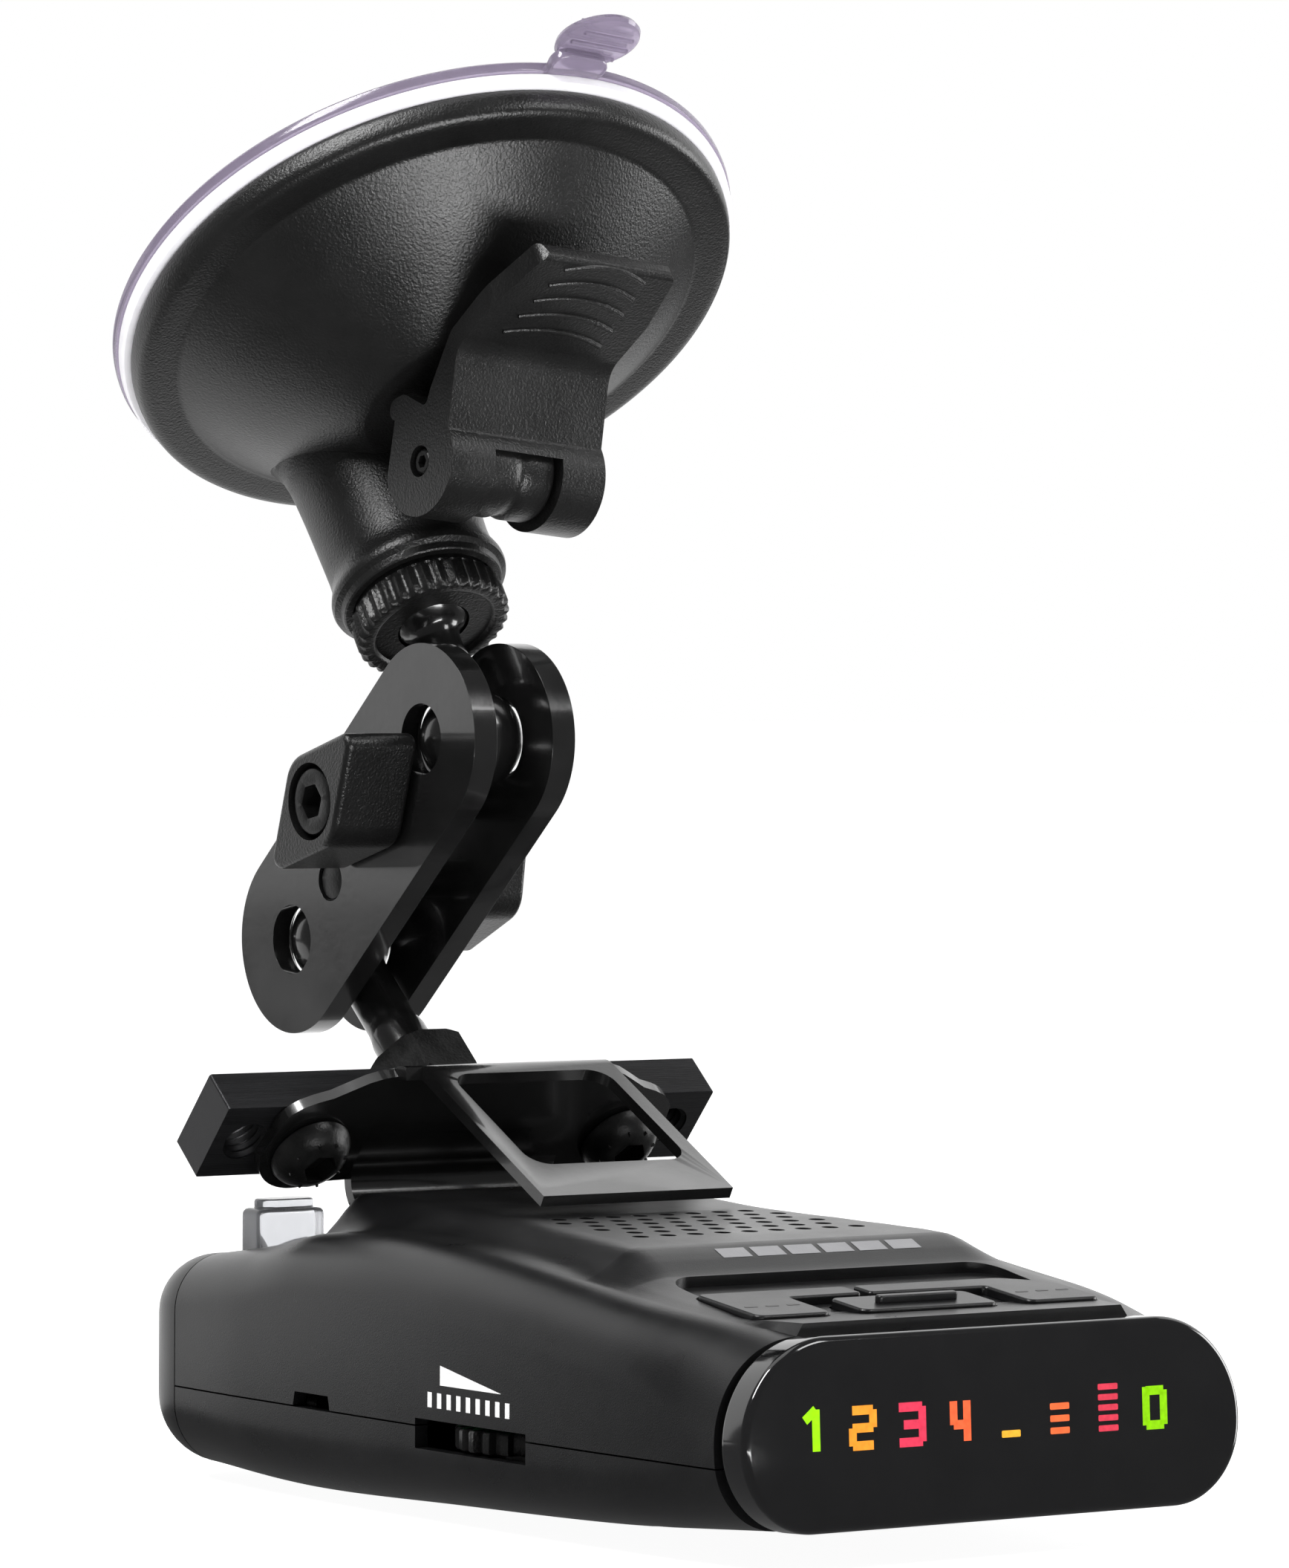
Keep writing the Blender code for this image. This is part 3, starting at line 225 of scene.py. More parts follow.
def tube(points, radius, closed=False):
    """A round bead along points."""
    curve = bpy.data.curves.new("bead", "CURVE")
    curve.dimensions = "3D"
    curve.bevel_depth = radius
    curve.bevel_resolution = 3
    curve.use_fill_caps = True
    spline = curve.splines.new("POLY")
    spline.points.add(len(points) - 1)
    spline.use_cyclic_u = closed
    for point, co in zip(spline.points, points):
        point.co = (*co, 1)
    holder = bpy.data.objects.new("bead", curve)
    bpy.context.scene.collection.objects.link(holder)
    bpy.context.view_layer.update()
    mesh = bpy.data.meshes.new_from_object(holder.evaluated_get(bpy.context.evaluated_depsgraph_get()))
    bpy.data.objects.remove(holder, do_unlink=True)
    return mesh


def modified(mesh, *steps):
    """The mesh after modifiers, each a (type, settings) pair."""
    holder = bpy.data.objects.new("work", mesh)
    bpy.context.scene.collection.objects.link(holder)
    for kind, settings in steps:
        modifier = holder.modifiers.new(kind, kind)
        for key, value in settings.items():
            setattr(modifier, key, value)
    bpy.context.view_layer.update()
    result = bpy.data.meshes.new_from_object(holder.evaluated_get(bpy.context.evaluated_depsgraph_get()))
    bpy.data.objects.remove(holder, do_unlink=True)
    return result


def boolean(mesh, tool, operation="DIFFERENCE", where=None, solver="MANIFOLD"):
    if where is not None:
        tool.transform(where)
    holder = bpy.data.objects.new("tool", tool)
    bpy.context.scene.collection.objects.link(holder)
    result = modified(mesh, ("BOOLEAN", {"operation": operation, "solver": solver, "object": holder}))
    bpy.data.objects.remove(holder, do_unlink=True)
    return result


def join(mesh, tool, where=None):
    return boolean(mesh, tool, "UNION", where)


def soft(mesh, width, segments=3, angle=32):
    return modified(mesh, ("BEVEL", {"width": width, "segments": segments, "limit_method": "ANGLE",
                                     "angle_limit": math.radians(angle), "use_clamp_overlap": True,
                                     "miter_outer": "MITER_ARC"}))


def merged(*meshes):
    bm = bmesh.new()
    for mesh in meshes:
        bm.from_mesh(mesh)
    result = bpy.data.meshes.new("mesh")
    bm.to_mesh(result)
    bm.free()
    return result


def arc(x, y, radius, start, end, steps):
    angles = [math.radians(start + (end - start) * i / steps) for i in range(steps + 1)]
    return [(x + radius * math.cos(a), y + radius * math.sin(a)) for a in angles]


def circle(x, y, radius, sides=48):
    return arc(x, y, radius, 0, 360, sides)[:-1]


def rounded(corners, steps=8):
    """A closed outline through (x, y, radius) corners, each corner an arc of that radius."""
    outline = []
    for i, (x, y, radius) in enumerate(corners):
        here = Vector((x, y))
        back = (Vector(corners[i - 1][:2]) - here).normalized()
        ahead = (Vector(corners[(i + 1) % len(corners)][:2]) - here).normalized()
        if radius == 0:
            outline.append((x, y))
            continue
        half = back.angle(ahead) / 2
        middle = here + (back + ahead).normalized() * radius / math.sin(half)
        first = here + back * radius / math.tan(half) - middle
        last = here + ahead * radius / math.tan(half) - middle
        sweep = math.copysign(math.pi - 2 * half, first.x * last.y - first.y * last.x)
        for k in range(steps + 1):
            cosine, sine = math.cos(sweep * k / steps), math.sin(sweep * k / steps)
            outline.append((middle.x + first.x * cosine - first.y * sine,
                            middle.y + first.x * sine + first.y * cosine))
    return outline


def rounded_box(x0, x1, y0, y1, radius, steps=8):
    return rounded([(x0, y0, radius), (x1, y0, radius), (x1, y1, radius), (x0, y1, radius)], steps)


def turned_in_plane(outline, degrees):
    cosine, sine = math.cos(math.radians(degrees)), math.sin(math.radians(degrees))
    return [(x * cosine - y * sine, x * sine + y * cosine) for x, y in outline]


def regular(sides, across_flats):
    return arc(0, 0, across_flats / 2 / math.cos(math.pi / sides), 0, 360, sides)[:-1]


def between(points, y):
    """The value at y on a smooth line through (y, value) points."""
    if y <= points[0][0]:
        return points[0][1]
    if y >= points[-1][0]:
        return points[-1][1]
    i = max(k for k in range(len(points) - 1) if points[k][0] <= y)
    (y0, v0), (y1, v1) = points[i], points[i + 1]
    slope = (v1 - v0) / (y1 - y0)
    before = (v0 - points[i - 1][1]) / (y0 - points[i - 1][0]) if i else slope
    after = (points[i + 2][1] - v1) / (points[i + 2][0] - y1) if i + 2 < len(points) else slope

    def tangent(one, other):
        return 2 * one * other / (one + other) if one * other > 0 else 0

    m0 = tangent(before, slope) if i else slope
    m1 = tangent(slope, after) if i + 2 < len(points) else slope
    t, h = (y - y0) / (y1 - y0), y1 - y0
    return (v0 * (2 * t ** 3 - 3 * t * t + 1) + m0 * h * (t ** 3 - 2 * t * t + t) +
            v1 * (3 * t * t - 2 * t ** 3) + m1 * h * (t ** 3 - t * t))


# ---------------------------------------------------------------- materials


def graph(name):
    found = bpy.data.materials.new(name)
    found.use_nodes = True
    tree = found.node_tree
    return found, tree, tree.nodes["Principled BSDF"]


def node(tree, kind, **settings):
    made = tree.nodes.new(kind)
    for key, value in settings.items():
        if key in made.inputs:
            made.inputs[key].default_value = value
        else:
            setattr(made, key, value)
    return made


def position(tree, stretch=(1, 1, 1)):
    """Object coordinates in millimetres, stretched."""
    coordinates = node(tree, "ShaderNodeTexCoord")
    mapping = node(tree, "ShaderNodeMapping")
    mapping.inputs["Scale"].default_value = [1000 * s for s in stretch]
    tree.links.new(coordinates.outputs["Object"], mapping.inputs["Vector"])
    return mapping.outputs["Vector"]


def ramp(tree, factor, stops):
    made = tree.nodes.new("ShaderNodeValToRGB")
    tree.links.new(factor, made.inputs["Fac"])
    for element, (at, value) in zip(made.color_ramp.elements, stops):
        element.position = at
        element.color = (*value, 1) if len(value) == 3 else value
    return made.outputs["Color"]


def plastic(name, dark, light, rough, grain=0.22, depth=0.25, coat=0.0, stretch=(1, 1, 1), metallic=0.0,
            specular=0.5, wide=9.0):
    """Moulded or painted surface: faint colour drift, uneven roughness and a fine grain."""
    found, tree, shader = graph(name)
    where = position(tree, stretch)
    broad = node(tree, "ShaderNodeTexNoise", Scale=1 / wide, Detail=4.0, Roughness=0.6)
    fine = node(tree, "ShaderNodeTexNoise", Scale=1 / grain, Detail=3.0, Roughness=0.55)
    for noise in (broad, fine):
        tree.links.new(where, noise.inputs["Vector"])
    tree.links.new(ramp(tree, broad.outputs["Fac"], ((0.3, dark), (0.7, light))), shader.inputs["Base Color"])
    spread = ramp(tree, broad.outputs["Fac"], ((0.3, (rough[0],) * 3), (0.7, (rough[1],) * 3)))
    tree.links.new(spread, shader.inputs["Roughness"])
    bump = node(tree, "ShaderNodeBump", Strength=depth, Distance=0.0001)
    tree.links.new(fine.outputs["Fac"], bump.inputs["Height"])
    tree.links.new(bump.outputs["Normal"], shader.inputs["Normal"])
    shader.inputs["Metallic"].default_value = metallic
    shader.inputs["Specular IOR Level"].default_value = specular
    shader.inputs["Coat Weight"].default_value = coat
    shader.inputs["Coat Roughness"].default_value = 0.06
    return found


def clear(name, colour, rough, transmission, ior=1.47):
    found, tree, shader = graph(name)
    where = position(tree)
    noise = node(tree, "ShaderNodeTexNoise", Scale=0.5, Detail=3.0)
    tree.links.new(where, noise.inputs["Vector"])
    tree.links.new(ramp(tree, noise.outputs["Fac"], ((0.3, tuple(0.94 * c for c in colour)), (0.7, colour))),
                   shader.inputs["Base Color"])
    tree.links.new(ramp(tree, noise.outputs["Fac"], ((0.3, (rough,) * 3), (0.7, (rough * 1.5,) * 3))),
                   shader.inputs["Roughness"])
    shader.inputs["Transmission Weight"].default_value = transmission
    shader.inputs["IOR"].default_value = ior
    return found


def glow(name, colour, strength):
    """A lit segment whose brightness drifts a little at random."""
    found, tree, shader = graph(name)
    where = position(tree)
    noise = node(tree, "ShaderNodeTexNoise", Scale=1.4, Detail=2.0)
    tree.links.new(where, noise.inputs["Vector"])
    shade = ramp(tree, noise.outputs["Fac"], ((0.3, tuple(0.75 * c for c in colour)), (0.7, colour)))
    tree.links.new(shade, shader.inputs["Emission Color"])
    shader.inputs["Base Color"].default_value = (*[0.2 * c for c in colour], 1)
    shader.inputs["Emission Strength"].default_value = strength
    shader.inputs["Roughness"].default_value = 0.2
    return found


def board_material(name):
    """Solder mask over copper lines laid out on a grid."""
    found, tree, shader = graph(name)
    where = position(tree)
    cells = node(tree, "ShaderNodeTexVoronoi", Scale=0.35, distance="MANHATTAN", feature="DISTANCE_TO_EDGE")
    tree.links.new(where, cells.inputs["Vector"])
    shade = ramp(tree, cells.outputs["Distance"], ((0.04, (0.05, 0.22, 0.09)), (0.09, (0.012, 0.085, 0.035))))
    tree.links.new(shade, shader.inputs["Base Color"])
    bump = node(tree, "ShaderNodeBump", Strength=0.3, Distance=0.0001)
    tree.links.new(cells.outputs["Distance"], bump.inputs["Height"])
    tree.links.new(bump.outputs["Normal"], shader.inputs["Normal"])
    shader.inputs["Roughness"].default_value = 0.35
    return found


LOOK = {
    "satin_case_plastic": plastic("satin_case", (0.004, 0.004, 0.0045), (0.007, 0.007, 0.0075), (0.27, 0.33),
                                  0.16, 0.22),
    "gloss_display_plastic": plastic("gloss_display", (0.004, 0.004, 0.0045), (0.006, 0.006, 0.0065), (0.06, 0.10),
                                     2.5, 0.02, coat=0.6),
    "textured_mount_plastic": plastic("textured_mount", (0.004, 0.004, 0.004), (0.007, 0.007, 0.007), (0.27, 0.34),
                                      0.35, 0.8),
    "black_painted_metal": plastic("black_paint", (0.004, 0.004, 0.004), (0.007, 0.007, 0.007), (0.16, 0.24),
                                   1.3, 0.16, coat=0.5),
    "black_anodised_bar": plastic("black_anodised", (0.012, 0.012, 0.013), (0.024, 0.024, 0.026), (0.34, 0.46),
                                  0.12, 0.4, stretch=(0.03, 1, 1), metallic=0.6, wide=1.2),
    "black_oxide_steel": plastic("black_oxide", (0.010, 0.010, 0.010), (0.022, 0.022, 0.022), (0.28, 0.4),
                                 0.4, 0.4, metallic=0.7, wide=3.0),
    "steel": plastic("zinc_steel", (0.35, 0.35, 0.36), (0.5, 0.5, 0.51), (0.26, 0.38), 0.5, 0.3, metallic=1.0),
    "clear_violet_vinyl": clear("violet_vinyl", (0.46, 0.40, 0.52), 0.12, 0.72),
    "clear_lens": clear("clear_acrylic", (0.80, 0.81, 0.84), 0.05, 0.86, 1.49),
    "circuit_board": board_material("solder_mask"),
    "cast_zinc": plastic("cast_alloy", (0.36, 0.36, 0.37), (0.5, 0.5, 0.5), (0.36, 0.5), 0.7, 0.6, metallic=0.9),
    "speaker_cone": plastic("paper_cone", (0.02, 0.02, 0.02), (0.04, 0.04, 0.04), (0.7, 0.85), 0.5, 0.8),
}
CLEAR_LAYER = clear("clear_vinyl_layer", (0.88, 0.87, 0.90), 0.35, 0.12)
WHITE_PRINT = plastic("white_print", (0.75, 0.75, 0.75), (0.85, 0.85, 0.85), (0.4, 0.5), 0.3, 0.2)
GREY_PRINT = plastic("grey_print", (0.26, 0.26, 0.27), (0.34, 0.34, 0.35), (0.4, 0.5), 0.3, 0.2)
FAINT_PRINT = plastic("faint_print", (0.05, 0.05, 0.05), (0.07, 0.07, 0.07), (0.4, 0.5), 0.3, 0.2)

subparts = {row["node"]: row["material_slot"] for row in frame["record"]["subparts"]}
bodies = {name: body for body, names in frame["record"]["behaviour"]["bodies"].items() for name in names}
for name, obj in frame["nodes"].items():
    obj.data.materials.clear()
    obj.data.materials.append(LOOK[subparts[name]])


def piece(name, mesh, where, stands_for, look=None, alone=True, angle=32):
    """A finished piece in the world, riding on the body of the CAD node that it stands for."""
    mesh.transform(Matrix.Scale(MM, 4) @ where)
    obj = bpy.data.objects.new(name, mesh)
    bpy.context.scene.collection.objects.link(obj)
    mesh.materials.clear()
    mesh.materials.append(look or LOOK[subparts[stands_for]])
    for polygon in mesh.polygons:
        polygon.material_index = 0
    mesh.shade_smooth()
    mesh.set_sharp_from_angle(angle=math.radians(angle))
    obj.modifiers.new("flat_faces", "WEIGHTED_NORMAL").keep_sharp = True
    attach(obj, bodies[stands_for])
    if alone:
        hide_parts(stands_for)
    return obj


# ---------------------------------------------------------------- suction cup


def suction_pad():
    violet = [(0, 36.5), (40.7, 36.5), (41.05, 36.4), (41.25, 36.1), (41.25, 35.3), (41.1, 35.0), (40.8, 34.85),
              (8.7, 34.85), (8.7, 36.0), (0, 36.0)]
    piece("pad_violet_layer", turned(violet, 192), DISH, "suction_pad")
    lower = [(8.7, 34.8), (40.6, 34.8), (40.85, 34.65), (40.9, 34.3), (40.8, 33.5), (40.5, 33.2), (12.5, 33.4),
             (12.0, 29.6), (5.5, 29.6), (5.5, 31.4), (8.7, 31.4)]
    piece("pad_clear_layer", turned(lower, 192, closed=True), DISH, "suction_pad", CLEAR_LAYER, alone=False)
    strap = rounded([(-7.0, -58.5, 0), (0.6, -58.5, 0), (0.6, -61.0, 1.0), (1.2, -64.5, 2), (-7.8, -64.5, 2),
                     (-7.0, -61.0, 1.0)])
    mesh = soft(prism([strap], 34.6, 36.2), 0.35)
    piece("pad_tab_strap", mesh, CUP, "suction_pad", alone=False)
    disc = [(0, 0.8), (4.7, 0.8), (5.3, 0.5), (5.5, 0), (5.3, -0.5), (4.7, -0.8), (0, -0.8)]
    tab = turned(disc, 64)
    for along in (-2.2, 0, 2.2):
        half = math.sqrt(4.3 ** 2 - along ** 2)
        for height in (0.85, -0.85):
            tab = merged(tab, tube([(-half, along, height), (half, along, height)], 0.35))
    piece("pad_tab_grip", tab, CUP @ Matrix.Translation((-2.2, -66.2, 36.4)) @ Matrix.Rotation(0.18, 4, "X"),
          "suction_pad", alone=False)


def cup_housing():
    shell = [(37.4, 33.1), (39.3, 33.1), (39.65, 32.95), (39.8, 32.6), (39.8, 31.9), (39.72, 31.0), (39.5, 30.3),
             (39.15, 29.85), (38.6, 29.6), (38.0, 29.5), (36.2, 29.42), (34.9, 29.42), (34.5, 29.35), (34.15, 29.1),
             (33.0, 28.2), (31.2, 26.9), (29.3, 25.5), (26.5, 23.55), (23.5, 21.6), (20.5, 19.7), (17.5, 17.75),
             (15.3, 16.35), (14.0, 15.6), (13.2, 15.4), (5.6, 15.4), (5.6, 17.4), (12.6, 17.6), (28.0, 27.9),
             (32.6, 31.3), (37.4, 31.5)]
    mesh = turned(shell, 192, closed=True)
    neck = [(0, 28), (13.4, 28), (12.1, 25.2), (11.55, 22.5), (11.3, 20), (11.1, 17), (10.95, 14), (10.75, 9),
            (10.65, 6.2), (10.7, 4.6), (10.95, 3.5), (11.3, 2.6), (11.5, 2.0), (11.54, 1.4), (11.4, 0.95),
            (11.0, 0.7), (10.7, 0.5), (10.6, 0.1), (10.5, -0.3), (10.3, -0.45), (0, -0.45)]
    hollow = [(0, 34), (37.0, 34), (32.6, 31.3), (28.0, 27.9), (12.6, 17.6), (0, 17.4)]
    mesh = join(mesh, turned(neck, 128), Matrix.Translation((0, -DISH_Y, 0)))
    mesh = boolean(mesh, turned(hollow, 128))
    mesh = boolean(mesh, cylinder(9.4, -2, 9.6, 96), where=Matrix.Translation((0, -DISH_Y, 0)))
    piece("cup_dome", mesh, DISH, "cup_housing")


def draw_stem():
    profile = [(0, 33.4), (8.3, 33.4), (8.3, 31.7), (5.0, 31.7), (5.0, 8.0), (0, 8.0)]
    knuckle = [(0, 5.0), (5.2, 5.0), (5.7, 4.8), (5.9, 4.3), (5.9, 1.4), (5.6, 0.5), (5.5, 0), (5.6, -0.5),
               (5.9, -1.4), (5.9, -4.3), (5.7, -4.8), (5.2, -5.0), (0, -5.0)]
    mesh = join(turned(profile, 64), turned(knuckle, 64), Matrix.Translation((0, 0, PIN_Z)) @ ALONG_X)
    mesh = boolean(mesh, cylinder(2.0, -6, 6), where=Matrix.Translation((0, 0, PIN_Z)) @ ALONG_X)
    piece("stem_knuckle", mesh, DISH, "draw_stem", LOOK["textured_mount_plastic"])


def cam_lever():
    ear = arc(0, 0, 7.0, 20, -180, 40)
    grip = rounded([(-6.8, 0.0, 0), (-13.4, 7.6, 4), (-32.0, 7.4, 0.8), (-31.3, 10.3, 1.2), (-19.4, 10.5, 3),
                    (-13.4, 10.3, 3), (-6.4, 6.7, 3), (-4.4, 5.3, 0.8), (-1.6, 9.6, 2), (0.6, 10.4, 1.6),
                    (3.3, 9.4, 1.4)], 6)
    mesh = prism([ear + grip[1:]], -12, 12)
    mesh.transform(SIDEWAYS)
    plan = rounded([(-12, 8, 0), (12, 8, 0), (12, -22, 8), (10, -32.4, 3), (0, -33.4, 20), (-10, -32.4, 3),
                    (-12, -22, 8)], 10)
    mesh = boolean(mesh, prism([plan], -9, 13), "INTERSECT")
    mesh = boolean(mesh, box((-5.3, -6.6, -8), (5.3, 9, 12)))
    mesh = boolean(mesh, cylinder(2.0, -14, 14), where=ALONG_X)
    mesh = soft(mesh, 0.7, 3, 40)
    ribs = []
    for k in range(5):
        y = -17.5 - 3.1 * k
        half = 7.6 - 0.35 * k
        line = [(half * (i / 10 - 1), y - 1.5 * (1 - (i / 10 - 1) ** 2), 7.52) for i in range(21)]
        ribs.append(tube(line, 0.36))
    piece("lever_body", mesh, PIN, "cam_lever", angle=40)
    piece("lever_grip_ribs", merged(*ribs), PIN, "cam_lever", alone=False)
    pin = [(0, 11.6), (1.3, 11.6), (1.6, 11.4), (1.7, 11.1), (1.7, -11.1), (1.6, -11.4), (1.3, -11.6), (0, -11.6)]
    mesh = boolean(turned(pin, 48), prism([regular(6, 1.5)], 10.6, 13))
    mesh = boolean(mesh, prism([regular(6, 1.5)], -13, -10.6))
    piece("lever_pin_head", mesh, PIN @ ALONG_X, "lever_pin", LOOK["black_oxide_steel"])


def ball_clamp():
    seat_r = BALL_R + 0.3
    hollow = [(seat_r * math.sin(math.radians(a)), seat_r * math.cos(math.radians(a))) for a in (43.9, 30, 15)]
    seat = [(0, 9.2), (9.0, 9.2), (9.0, 4.9), *hollow, (0, seat_r)]
    piece("upper_ball_seat", turned(seat, 64), CUP, "ball_seat")
    socket = [(seat_r * math.cos(math.radians(a)), -seat_r * math.sin(math.radians(a)))
              for a in (46, 38, 30, 22, 15, 7, 0)]
    outer = [(9.1, 4.5), (9.1, -1.0), (9.5, -1.15), (9.85, -1.35), (10.05, -1.7), (10.05, -2.2), (10.05, -3.2),
             (10.05, -4.2), (10.05, -4.8), (9.9, -5.2), (9.6, -5.45), (9.2, -5.5), (8.2, -5.5), (7.95, -5.4),
             (7.7, -4.9)]

    def fluted(angle, radius, z):
        if radius < 9.3 or z > -1.2:
            return radius
        return radius - 0.55 * (0.5 - 0.5 * math.cos(34 * angle)) ** 0.7

    mesh = turned(outer + socket + [(7.1, 0.5), (7.1, 4.5)], 34 * 10, closed=True, shape=fluted)
    piece("collar_ring", mesh, CUP, "locking_collar", angle=50)


# ---------------------------------------------------------------- ball arm


def ball_arc(centre, start, end, steps=24):
    angles = [math.radians(start + (end - start) * i / steps) for i in range(steps + 1)]
    return [(BALL_R * math.sin(a), centre + BALL_R * math.cos(a)) for a in angles]


def double_ball_stud():
    neck = math.degrees(math.asin(3.2 / BALL_R))
    profile = ball_arc(0, 0, 180 - neck - 1) + [(3.0, -6.2), (2.9, -7.0), (2.95, -8.6), (3.2, -10.0),
                                                 (3.2, -STUD_REACH + 7.0),
                                                 (3.35, -STUD_REACH + 6.2)] + ball_arc(-STUD_REACH, neck + 6, 180)
    lean = Vector((0, 0, 1)).rotation_difference(stud_axis).to_matrix().to_4x4()
    where = DETECTOR @ Matrix.Translation(CUP_AT) @ lean
    piece("upper_ball_stud", turned(profile, 96), where, "double_ball_stud")


def arm_side(side):
    name = "left" if side < 0 else "right"
    bolt = BOLT_OFFSET if side < 0 else ARM_LENGTH - BOLT_OFFSET
    other = ARM_LENGTH - bolt
    outline = arc(0, 0, ARM_R, 90, 270, 48) + arc(ARM_LENGTH, 0, ARM_R, -90, 90, 48)
    holes = [circle(0, 0, 4.5), circle(ARM_LENGTH, 0, 4.5), circle(bolt, 0, 2.9), circle(other, 0, 2.7)]
    low, high = sorted((side * 4.2, side * 7.6))
    mesh = soft(prism([outline, *holes], low, high), 0.75, 4)
    mesh.transform(SIDEWAYS)
    for along in (0, ARM_LENGTH):
        mesh = boolean(mesh, ball(BALL_R + 0.3), where=Matrix.Translation((0, along, 0)))
    piece(f"arm_cheek_{name}", mesh, ARM, f"arm_plate_{name}")
    low, high = sorted((side * BLOCK_INNER, side * (BLOCK_INNER + BLOCK_THICK)))
    tip, edge = 13.5, 7.3
    rhombus = turned_in_plane(rounded([(-tip, 0, 1.6), (0, -edge, 4.5), (tip, 0, 1.6), (0, edge, 4.5)], 10),
                              -3 if side < 0 else -12)
    mesh = soft(prism([rhombus], low, high), 0.8, 4)
    face = side * (BLOCK_INNER + BLOCK_THICK)
    mesh = boolean(mesh, cylinder(2.9, low - 1, high + 1))
    recess = sorted((face + side, face - side * 5.6))
    mesh = boolean(mesh, cylinder(4.9, *recess))
    mesh.transform(SIDEWAYS)
    at = Matrix.Translation((0, bolt, 0))
    piece(f"clamp_knob_{name}", mesh, ARM @ at, f"clamp_block_{name}", LOOK["textured_mount_plastic"])
    head = [(0, 0), (3.7, 0), (4.1, -0.15), (4.3, -0.5), (4.3, -5.0), (2.4, -5.0), (2.4, -25.4), (0, -25.4)]
    mesh = boolean(turned(head, 72), prism([regular(6, 4)], -2.6, 1))
    out = ALONG_X if side > 0 else Matrix.Rotation(-math.pi / 2, 4, "Y")
    where = ARM @ Matrix.Translation((face - side * 0.3, bolt, 0)) @ out
    piece(f"clamp_bolt_{name}", soft(mesh, 0.12, 2, 40), where, f"clamp_screw_{name}", LOOK["black_oxide_steel"])


def lower_stud():
    neck = math.degrees(math.asin(3.3 / BALL_R))
    profile = ball_arc(0, 0, 180 - neck - 6) + [(3.45, -6.3), (3.3, -7.2), (3.3, -16.0), (3.45, -17.2), (3.7, -18.5),
                                                 (3.7, -22.4), (3.5, -22.75), (3.0, -22.9)]
    z = -23.2
    while z > -STUD_LENGTH - 2.2:
        profile += [(3.0, z), (2.7, z - 0.25), (3.0, z - 0.5)]
        z -= 0.8
    profile += [(2.6, -STUD_LENGTH - 2.5), (0, -STUD_LENGTH - 2.5)]
    along = Matrix.Rotation(-math.pi / 2, 4, "X")
    piece("bar_ball_stud", turned(profile, 96), BAR @ Matrix.Translation((0, STUD_LENGTH, STUD_Z)) @ along,
          "lower_ball_stud")
    low = BAR_SIZE[1] / 2 + 0.3
    top = low + 6.8
    mesh = prism([regular(6, 12.4), circle(0, 0, 3.35)], low, top)
    chamfer = [(0, top + 0.2), (6.2, top + 0.2), (6.5, top), (7.3, top - 0.8), (7.3, low + 0.8), (6.5, low),
               (6.2, low - 0.2), (0, low - 0.2)]
    mesh = boolean(mesh, turned(chamfer, 96), "INTERSECT")
    piece("bar_nut", soft(mesh, 0.12, 2, 25), BAR @ Matrix.Translation((0, 0, STUD_Z)) @ along, "stud_nut")


# ---------------------------------------------------------------- bar and bracket


def mount_bar():
    half = [size / 2 for size in BAR_SIZE]
    outline = rounded_box(-half[0], half[0], -half[2], half[2], 0.35, 4)
    holes = [circle(side * BAR_END_HOLE_X, 0, 3.0) for side in (-1, 1)]
    holes += [circle(side * BAR_SCREW_X, 0, 3.3) for side in (-1, 1)] + [circle(0, STUD_Z, 3.3)]
    mesh = soft(prism([outline, *holes], -half[1], half[1]), 0.18, 2)
    piece("bar_body", mesh, BAR @ UPRIGHT, "mount_bar")
    threads = []
    for side in (-1, 1):
        inner = []
        z = half[1] - 0.3
        while z > -half[1] + 0.6:
            inner += [(2.95, z), (2.5, z - 0.4), (2.95, z - 0.8)]
            z -= 1.0
        ring = [(2.99, -half[1] + 0.2), (2.99, half[1] - 0.2)] + inner
        mesh = turned(ring, 48, closed=True)
        mesh.transform(Matrix.Translation((side * BAR_END_HOLE_X, 0, 0)))
        threads.append(mesh)
    piece("bar_end_threads", merged(*threads), BAR @ UPRIGHT, "mount_bar", alone=False)


def ribbon(path, thick):
    """The outline of a sheet of this thickness whose middle runs through (y, z, bend radius) corners."""
    sides = []
    for sign in (1, -1):
        side = []
        for i, (y, z, radius) in enumerate(path):
            here = Vector((y, z))
            back = (here - Vector(path[max(i - 1, 0)][:2])).normalized()
            ahead = (Vector(path[min(i + 1, len(path) - 1)][:2]) - here).normalized()
            back = back if back.length else ahead
            ahead = ahead if ahead.length else back
            bend = back.angle_signed(ahead)
            offset = (Vector((-back.y, back.x)) + Vector((-ahead.y, ahead.x))).normalized()
            corner = here + offset * sign * thick / 2 / math.cos(bend / 2)
            outside = 1 if bend * sign > 0 else -1
            side.append((corner.x, corner.y, max(radius + outside * thick / 2, 0)))
        sides.append(side)
    return rounded(sides[0] + sides[1][::-1], 12)


def to_detector(y, z):
    return (BAR_AT + bar_turn @ Vector((0, y, z))).yz


